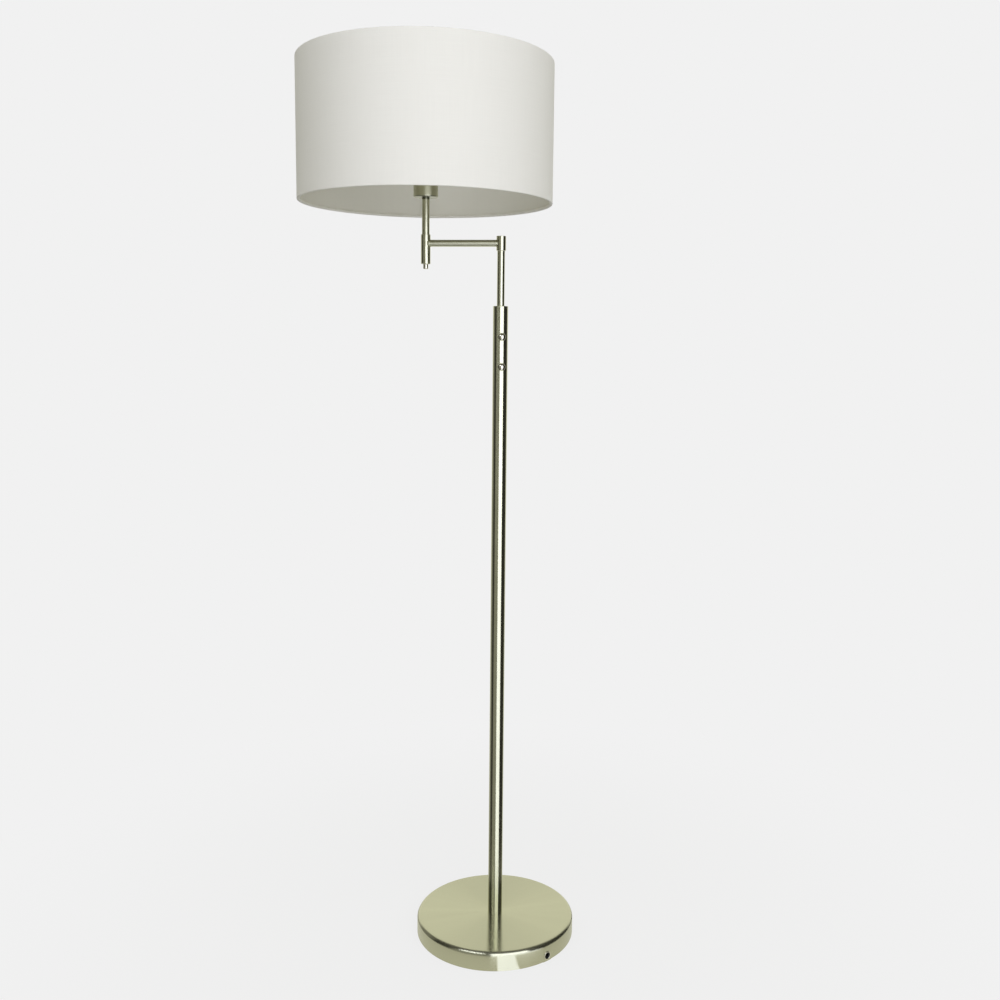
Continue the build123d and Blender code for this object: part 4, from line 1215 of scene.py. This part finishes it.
class LAMP_OT_lampholder(Operator):
    """Mould the lampholder's threaded skirt and its fluted ring nut, and blow the bulb"""

    bl_idname = "lamp.lampholder"
    bl_label = "Lampholder and bulb"

    def execute(self, context):
        sizes = context.scene.lamp_sizes
        white = moulded_plastic("white thermoset plastic", context.scene.lamp_finishes.white, 0.4)
        centre, flange, low, high = extent("holder_skirt")
        seat = extent("carrier_ring")[2]
        cup_top = extent("holder_cup")[3]
        thread = extent("holder_base")[1]
        bore = thread - 2.2 * MM
        outline = rounded(
            [
                (bore, low, 0.2 * MM),
                (thread, low, 0.2 * MM),
                (thread, cup_top, 0.05 * MM),
                (flange, cup_top, 0.3 * MM),
                (flange, seat, 0.3 * MM),
                (thread, seat, 0.05 * MM),
                (thread, high, 0.4 * MM),
                (bore, high, 0.4 * MM),
            ]
        )
        outline = divided(outline, 0.2 * MM, seat, high)

        def screw_thread(angle, radius, height):
            """A rounded thread: depth × (1 - cosine of turn and height / pitch) / 2, fading at its start."""
            wave = (1 - np.cos(2 * pi * height / sizes.thread_pitch - angle)) / 2
            reach = wavy_step(height, seat + 0.3 * MM, seat + 1.5 * MM) * (radius > thread - 0.5 * MM)
            return -sizes.thread_depth * wave * reach

        skirt = turned("threaded_skirt", outline, centre, turns=144, relief=screw_thread)
        finish_piece(skirt, "arm", "white_plastic", white, "holder_skirt")
        centre, radius, low, high = extent("shade_ring_nut")
        outline = rounded(
            [
                (thread + FIT, low, 0.3 * MM),
                (radius, low, 0.5 * MM),
                (radius, high, 1.2 * MM),
                (thread + FIT, high, 0.8 * MM),
            ],
            steps=6,
        )
        count, flute = 24, 1.2 * MM

        def flutes(angle, radius_here, height):
            """Round flutes: each cuts in by root(flute² - (radius × angle from its middle)²)."""
            off = (angle + pi / count) % (2 * pi / count) - pi / count
            cut = np.sqrt(np.maximum(flute**2 - (radius * off) ** 2, 0))
            return -np.minimum(cut, np.maximum(radius_here - (radius - flute), 0))

        nut = turned("ring_nut", outline, centre, turns=count * 16, relief=flutes)
        finish_piece(nut, "arm", "white_plastic", white, "shade_ring_nut")
        self.add_bulb()
        return {"FINISHED"}

    def add_bulb(self):
        """The bulb: a ball, and a neck that leaves it on the tangent to the cap's edge."""
        centre, ball, low, high = extent("bulb_glass")
        neck, wall = 12.8 * MM, 0.9 * MM
        middle = high - ball
        down = Vector((neck, low - middle))
        touch = atan2(down.y, down.x) + np.arccos(ball / down.length)
        swing = np.linspace(touch, pi / 2, 40)
        outer = np.stack([ball * np.cos(swing), middle + ball * np.sin(swing)], axis=1)
        start = np.array([neck, low])
        side = start + (outer[0] - start) * np.linspace(0, 1, 12)[:-1, None]
        skin = np.vstack([side, outer])
        inner = np.stack([(ball - wall) * np.cos(swing), middle + (ball - wall) * np.sin(swing)], axis=1)
        start = np.array([neck - wall, low])
        side = start + (inner[0] - start) * np.linspace(0, 1, 12)[:-1, None]
        outline = np.vstack([skin, inner[::-1], side[::-1]])
        outline[:, 0] = np.maximum(outline[:, 0], 0)
        bulb = turned("bulb", outline, centre)
        finish_piece(bulb, "arm", "opal_glass", opal_glass("opal glass"), "bulb_glass")


class LAMP_OT_carrier(Operator):
    """Bend the shade's three wires and two hoops, and weld them to the ring"""

    bl_idname = "lamp.carrier"
    bl_label = "Shade carrier"

    def execute(self, context):
        coat = powder_coat("white powder coat")
        centre, radius, low, high = extent("carrier_ring")
        bore = extent("holder_base")[1] + 0.6 * MM
        outline = rounded(
            [
                (bore, low, 0.3 * MM),
                (radius, low, 0.5 * MM),
                (radius, high, 0.5 * MM),
                (bore, high, 0.3 * MM),
            ]
        )
        ring = turned("carrier_plate", outline, centre)
        finish_piece(ring, "arm", "white_wire", coat, "carrier_ring")
        _, hoop_edge, hoop_low, hoop_high = extent("shade_upper_hoop")
        thick = (hoop_high - hoop_low) / 2
        wire = 1.5 * MM
        end = hoop_edge - 2 * thick - wire - FIT
        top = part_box("carrier_wires")[1].z
        level = (low + high) / 2
        start = radius + FIT
        line = rounded(
            [
                (start, level, 0),
                (start + 8 * MM, level, 6 * MM),
                (end, top - 14 * MM, 6 * MM),
                (end, top, 0),
            ],
            steps=14,
            closed=False,
        )
        line = np.vstack([[(start - 1.2 * MM, level)], line])
        parts = []
        for turn in WIRE_ANGLES:
            outward = np.array((cos(turn), sin(turn), 0))
            path = np.asarray(centre) + line[:, :1] * outward + line[:, 1:] * np.array((0, 0, 1))
            aside = np.cross((0, 0, 1), outward)
            parts.append(swept("wire", path, wire, aside, sides=20))
            foot = np.asarray(centre) + np.array((0, 0, level)) + (start - 0.2 * MM) * outward
            parts.append(self.weld("weld", foot, outward, aside, 2.1 * MM, 1.7 * MM))
            rise = extent("shade_upper_hoop")[3] - thick
            seam = np.asarray(centre) + np.array((0, 0, rise)) + (end + wire) * outward
            parts.append(self.weld("weld", seam, outward, aside, 1.2 * MM, 2.2 * MM))
        frame_piece = joined("carrier_wire_frame", parts)
        finish_piece(frame_piece, "arm", "white_wire", coat, "carrier_wires")
        for name, node in (("upper_hoop", "shade_upper_hoop"), ("lower_hoop", "shade_lower_hoop")):
            _, edge, hoop_low, hoop_high = extent(node)
            angle = np.linspace(0, 2 * pi, 288, endpoint=False)
            reach, height = edge - thick, (hoop_low + hoop_high) / 2
            path = np.stack([reach * np.cos(angle), reach * np.sin(angle), 0 * angle + height], axis=1)
            hoop = swept(name, path + np.asarray(centre), thick, (0, 0, 1), closed=True)
            finish_piece(hoop, "arm", "white_wire", coat, node)
        return {"FINISHED"}

    def weld(self, name, spot, outward, aside, across, long):
        """A weld's drop: spot + across × (sin t cos a × outward + cos t × up) + long × sin t sin a × aside."""
        tilt = np.linspace(0, pi, 10)[:, None]
        angle = np.linspace(0, 2 * pi, 20, endpoint=False)[None, :]
        level = across * np.sin(tilt) * np.cos(angle)
        upright = across * np.cos(tilt) * np.ones_like(angle)
        beside = long * np.sin(tilt) * np.sin(angle)
        points = spot + level[..., None] * outward + beside[..., None] * aside
        points = points + upright[..., None] * np.array((0, 0, 1))
        return make_piece(name, points, grid_faces(10, 20, wrap_rows=False))


class LAMP_OT_shade(Operator):
    """Wrap the shade's cloth round both hoops, lap it at the back, and line it"""

    bl_idname = "lamp.shade"
    bl_label = "Shade"

    def execute(self, context):
        sizes = context.scene.lamp_sizes
        centre, radius, low, high = extent("shade_drum")
        _, hoop_edge, hoop_low, hoop_high = extent("shade_upper_hoop")
        cloth = sizes.cloth
        hoop = (hoop_high - hoop_low) / 2
        wrap = hoop + FIT + cloth / 2
        hoop_reach = hoop_edge - hoop
        inside = radius - 1 * MM
        outer = radius - cloth / 2
        top = high - cloth / 2
        foot = low + cloth / 2
        bend = wrap * 0.98
        outline = rounded(
            [
                (inside - 0.1 * MM, top - 2 * wrap, 0),
                (hoop_reach - wrap, top - 2 * wrap, bend),
                (hoop_reach - wrap, top, bend),
                (outer, top, 0.8 * MM),
                (outer, foot, 0.8 * MM),
                (hoop_reach - wrap, foot, bend),
                (hoop_reach - wrap, foot + 2 * wrap, bend),
                (inside - 0.1 * MM, foot + 2 * wrap, 0),
            ],
            steps=8,
            closed=False,
        )
        piece, flat = self.wrapped_sheet("shade_cloth", outline, centre, hoop_reach, sizes)
        wall = piece.modifiers.new("cloth thickness", "SOLIDIFY")
        wall.thickness = cloth
        wall.offset = 0
        wall.use_even_offset = True
        finish_piece(
            piece, "arm", "ivory_fabric", laminated_cloth("plain-woven ivory cloth"),
            "shade_drum", "shade_upper_hem", "shade_lower_hem",
        )
        self.add_lining(centre, inside, low + 0.5 * MM, high - 0.5 * MM, sizes)
        return {"FINISHED"}

    def wrapped_sheet(self, name, outline, centre, hoop_reach, sizes):
        """The cloth: a profile carried once round the shade and on over its own start.

        A point at length s of the profile and at angle a is profile(s) + normal(s) × lift(a). The lift
        grows by a smooth step to one thickness where the cloth passes over its own start. The turned-in
        edge is notched, from the hoop's top down, where the three wires come up.
        """
        reach = outline[:, 0].max()
        lap = sizes.seam_width / reach
        ease = 14 * MM / reach
        around = 2 * pi + lap
        wires = (WIRE_ANGLES - SEAM_ANGLE) % (2 * pi)
        notch = sizes.notch_width / 2 / hoop_reach
        angle = [np.linspace(0, around, 481), np.linspace(2 * pi - ease, 2 * pi, 13), wires - notch, wires + notch]
        angle = np.unique(np.concatenate(angle))
        run = np.gradient(outline, axis=0)
        run /= np.linalg.norm(run, axis=1)[:, None]
        normal = np.stack([-run[:, 1], run[:, 0]], axis=1)
        lift = sizes.seam_step * wavy_step(angle, 2 * pi - ease, 2 * pi)
        spot = outline[:, None, :] + normal[:, None, :] * lift[None, :, None]
        turn = SEAM_ANGLE + angle[None, :]
        points = np.stack([spot[..., 0] * np.cos(turn), spot[..., 0] * np.sin(turn), spot[..., 1]], axis=-1)
        faces = grid_faces(len(outline), len(angle), wrap_rows=False, wrap_columns=False)
        row, column = faces[:, 0] // len(angle), faces[:, 0] % len(angle)
        middle = (angle[column] + angle[np.minimum(column + 1, len(angle) - 1)]) / 2
        beside = np.abs(middle[:, None] - wires).min(axis=1) < notch
        turned_in = (outline[row, 0] < hoop_reach - 0.1 * MM) & (outline[row, 1] > outline[:, 1].mean())
        faces = faces[~(beside & turned_in)]
        along = np.concatenate([[0], np.cumsum(np.linalg.norm(np.diff(outline, axis=0), axis=1))])
        flat = np.stack(np.broadcast_arrays(angle[None, :] * reach, along[:, None]), axis=-1).reshape(-1, 2)
        piece = make_sheet(name, points + np.asarray(centre), faces, flat)
        return piece, (around * reach, along[-1])

    def add_lining(self, centre, radius, low, high, sizes):
        """The lining: a stiff sheet rolled once round inside the cloth, its end lapped on the inside.

        A point at angle a lies at radius - lift(a), where the lift grows to one thickness at the lap.
        """
        thick = 0.5 * MM
        reach = radius + thick / 2
        lap, ease = 12 * MM / reach, 10 * MM / reach
        angle = np.linspace(0, 2 * pi + lap, 481)
        angle = np.unique(np.concatenate([angle, np.linspace(2 * pi - ease, 2 * pi, 13)]))
        away = reach - (thick + FIT) * wavy_step(angle, 2 * pi - ease, 2 * pi)
        height = np.concatenate([[low, low + 1 * MM], np.linspace(low, high, 24)[1:-1], [high - 1 * MM, high]])
        turn = SEAM_ANGLE + radians(4) + angle
        level = np.stack([away * np.cos(turn), away * np.sin(turn)], axis=1)
        points = np.concatenate(
            [np.broadcast_to(level[None], (len(height), len(angle), 2)),
             np.broadcast_to(height[:, None, None], (len(height), len(angle), 1))],
            axis=2,
        )
        faces = grid_faces(len(height), len(angle), wrap_rows=False, wrap_columns=False)
        flat = np.stack(np.broadcast_arrays(angle[None, :] * reach, height[:, None]), axis=-1).reshape(-1, 2)
        piece = make_sheet("shade_lining", points + np.asarray(centre), faces, flat)
        wall = piece.modifiers.new("sheet thickness", "SOLIDIFY")
        wall.thickness = thick
        wall.offset = 0
        finish_piece(piece, "arm", "ivory_fabric", styrene_lining("styrene lining"))


class LAMP_OT_inner_parts(Operator):
    """Give the pieces inside the lamp their finishes"""

    bl_idname = "lamp.inner_parts"
    bl_label = "Inner parts"

    def execute(self, context):
        looks = context.scene.lamp_finishes
        steel = zinc_plated_steel("zinc-plated steel")
        dress(steel, "foot_nipple", "foot_nut", "foot_lock_washer", "foot_washer", "column_foot_plug")
        dress(steel, "swivel_spring", "swivel_nut", "switch_spindle", "stem_nipple")
        dress(sand_cast_iron("sand-cast iron"), "base_weight")
        dress(needled_felt("needled felt"), "base_pad")
        dress(moulded_plastic("black ABS", looks.black, 0.45), "switch_body")
        dress(moulded_plastic("natural nylon", looks.nylon, 0.38), "riser_foot_bush", "swivel_washer")
        dress(moulded_plastic("white thermoset base", looks.white, 0.4), "holder_base")
        dress(turned_brass("turned brass"), "contact_shell", "centre_contact")
        dress(glazed_porcelain("glazed porcelain"), "contact_block")
        dress(drawn_aluminium("drawn aluminium"), "bulb_cap")
        return {"FINISHED"}


class LAMP_PT_panel(Panel):
    """The lamp's operators in the sidebar"""

    bl_label = "Floor Lamp"
    bl_space_type = "VIEW_3D"
    bl_region_type = "UI"
    bl_category = "Floor Lamp"

    def draw(self, context):
        for operator in OPERATORS:
            self.layout.operator(operator.bl_idname)


OPERATORS = (
    LAMP_OT_stage,
    LAMP_OT_base,
    LAMP_OT_column,
    LAMP_OT_clamp_screws,
    LAMP_OT_riser,
    LAMP_OT_arm,
    LAMP_OT_switch,
    LAMP_OT_stem,
    LAMP_OT_lampholder,
    LAMP_OT_carrier,
    LAMP_OT_shade,
    LAMP_OT_inner_parts,
)
SETTINGS = {"lamp_finishes": LampFinishes, "lamp_sizes": LampSizes, "lamp_stage": LampStage}


def register():
    """Registers the settings, the operators and the panel."""
    for group in SETTINGS.values():
        bpy.utils.register_class(group)
    for name, group in SETTINGS.items():
        setattr(bpy.types.Scene, name, PointerProperty(type=group))
    for kind in (*OPERATORS, LAMP_PT_panel):
        bpy.utils.register_class(kind)


def unregister():
    """Takes back what register has set."""
    for kind in (LAMP_PT_panel, *reversed(OPERATORS)):
        bpy.utils.unregister_class(kind)
    for name, group in SETTINGS.items():
        delattr(bpy.types.Scene, name)
        bpy.utils.unregister_class(group)


def main():
    """Builds the lamp and its stage."""
    register()
    for operator in OPERATORS:
        getattr(bpy.ops.lamp, operator.bl_idname.split(".")[1])()


if __name__ == "__main__":
    main()
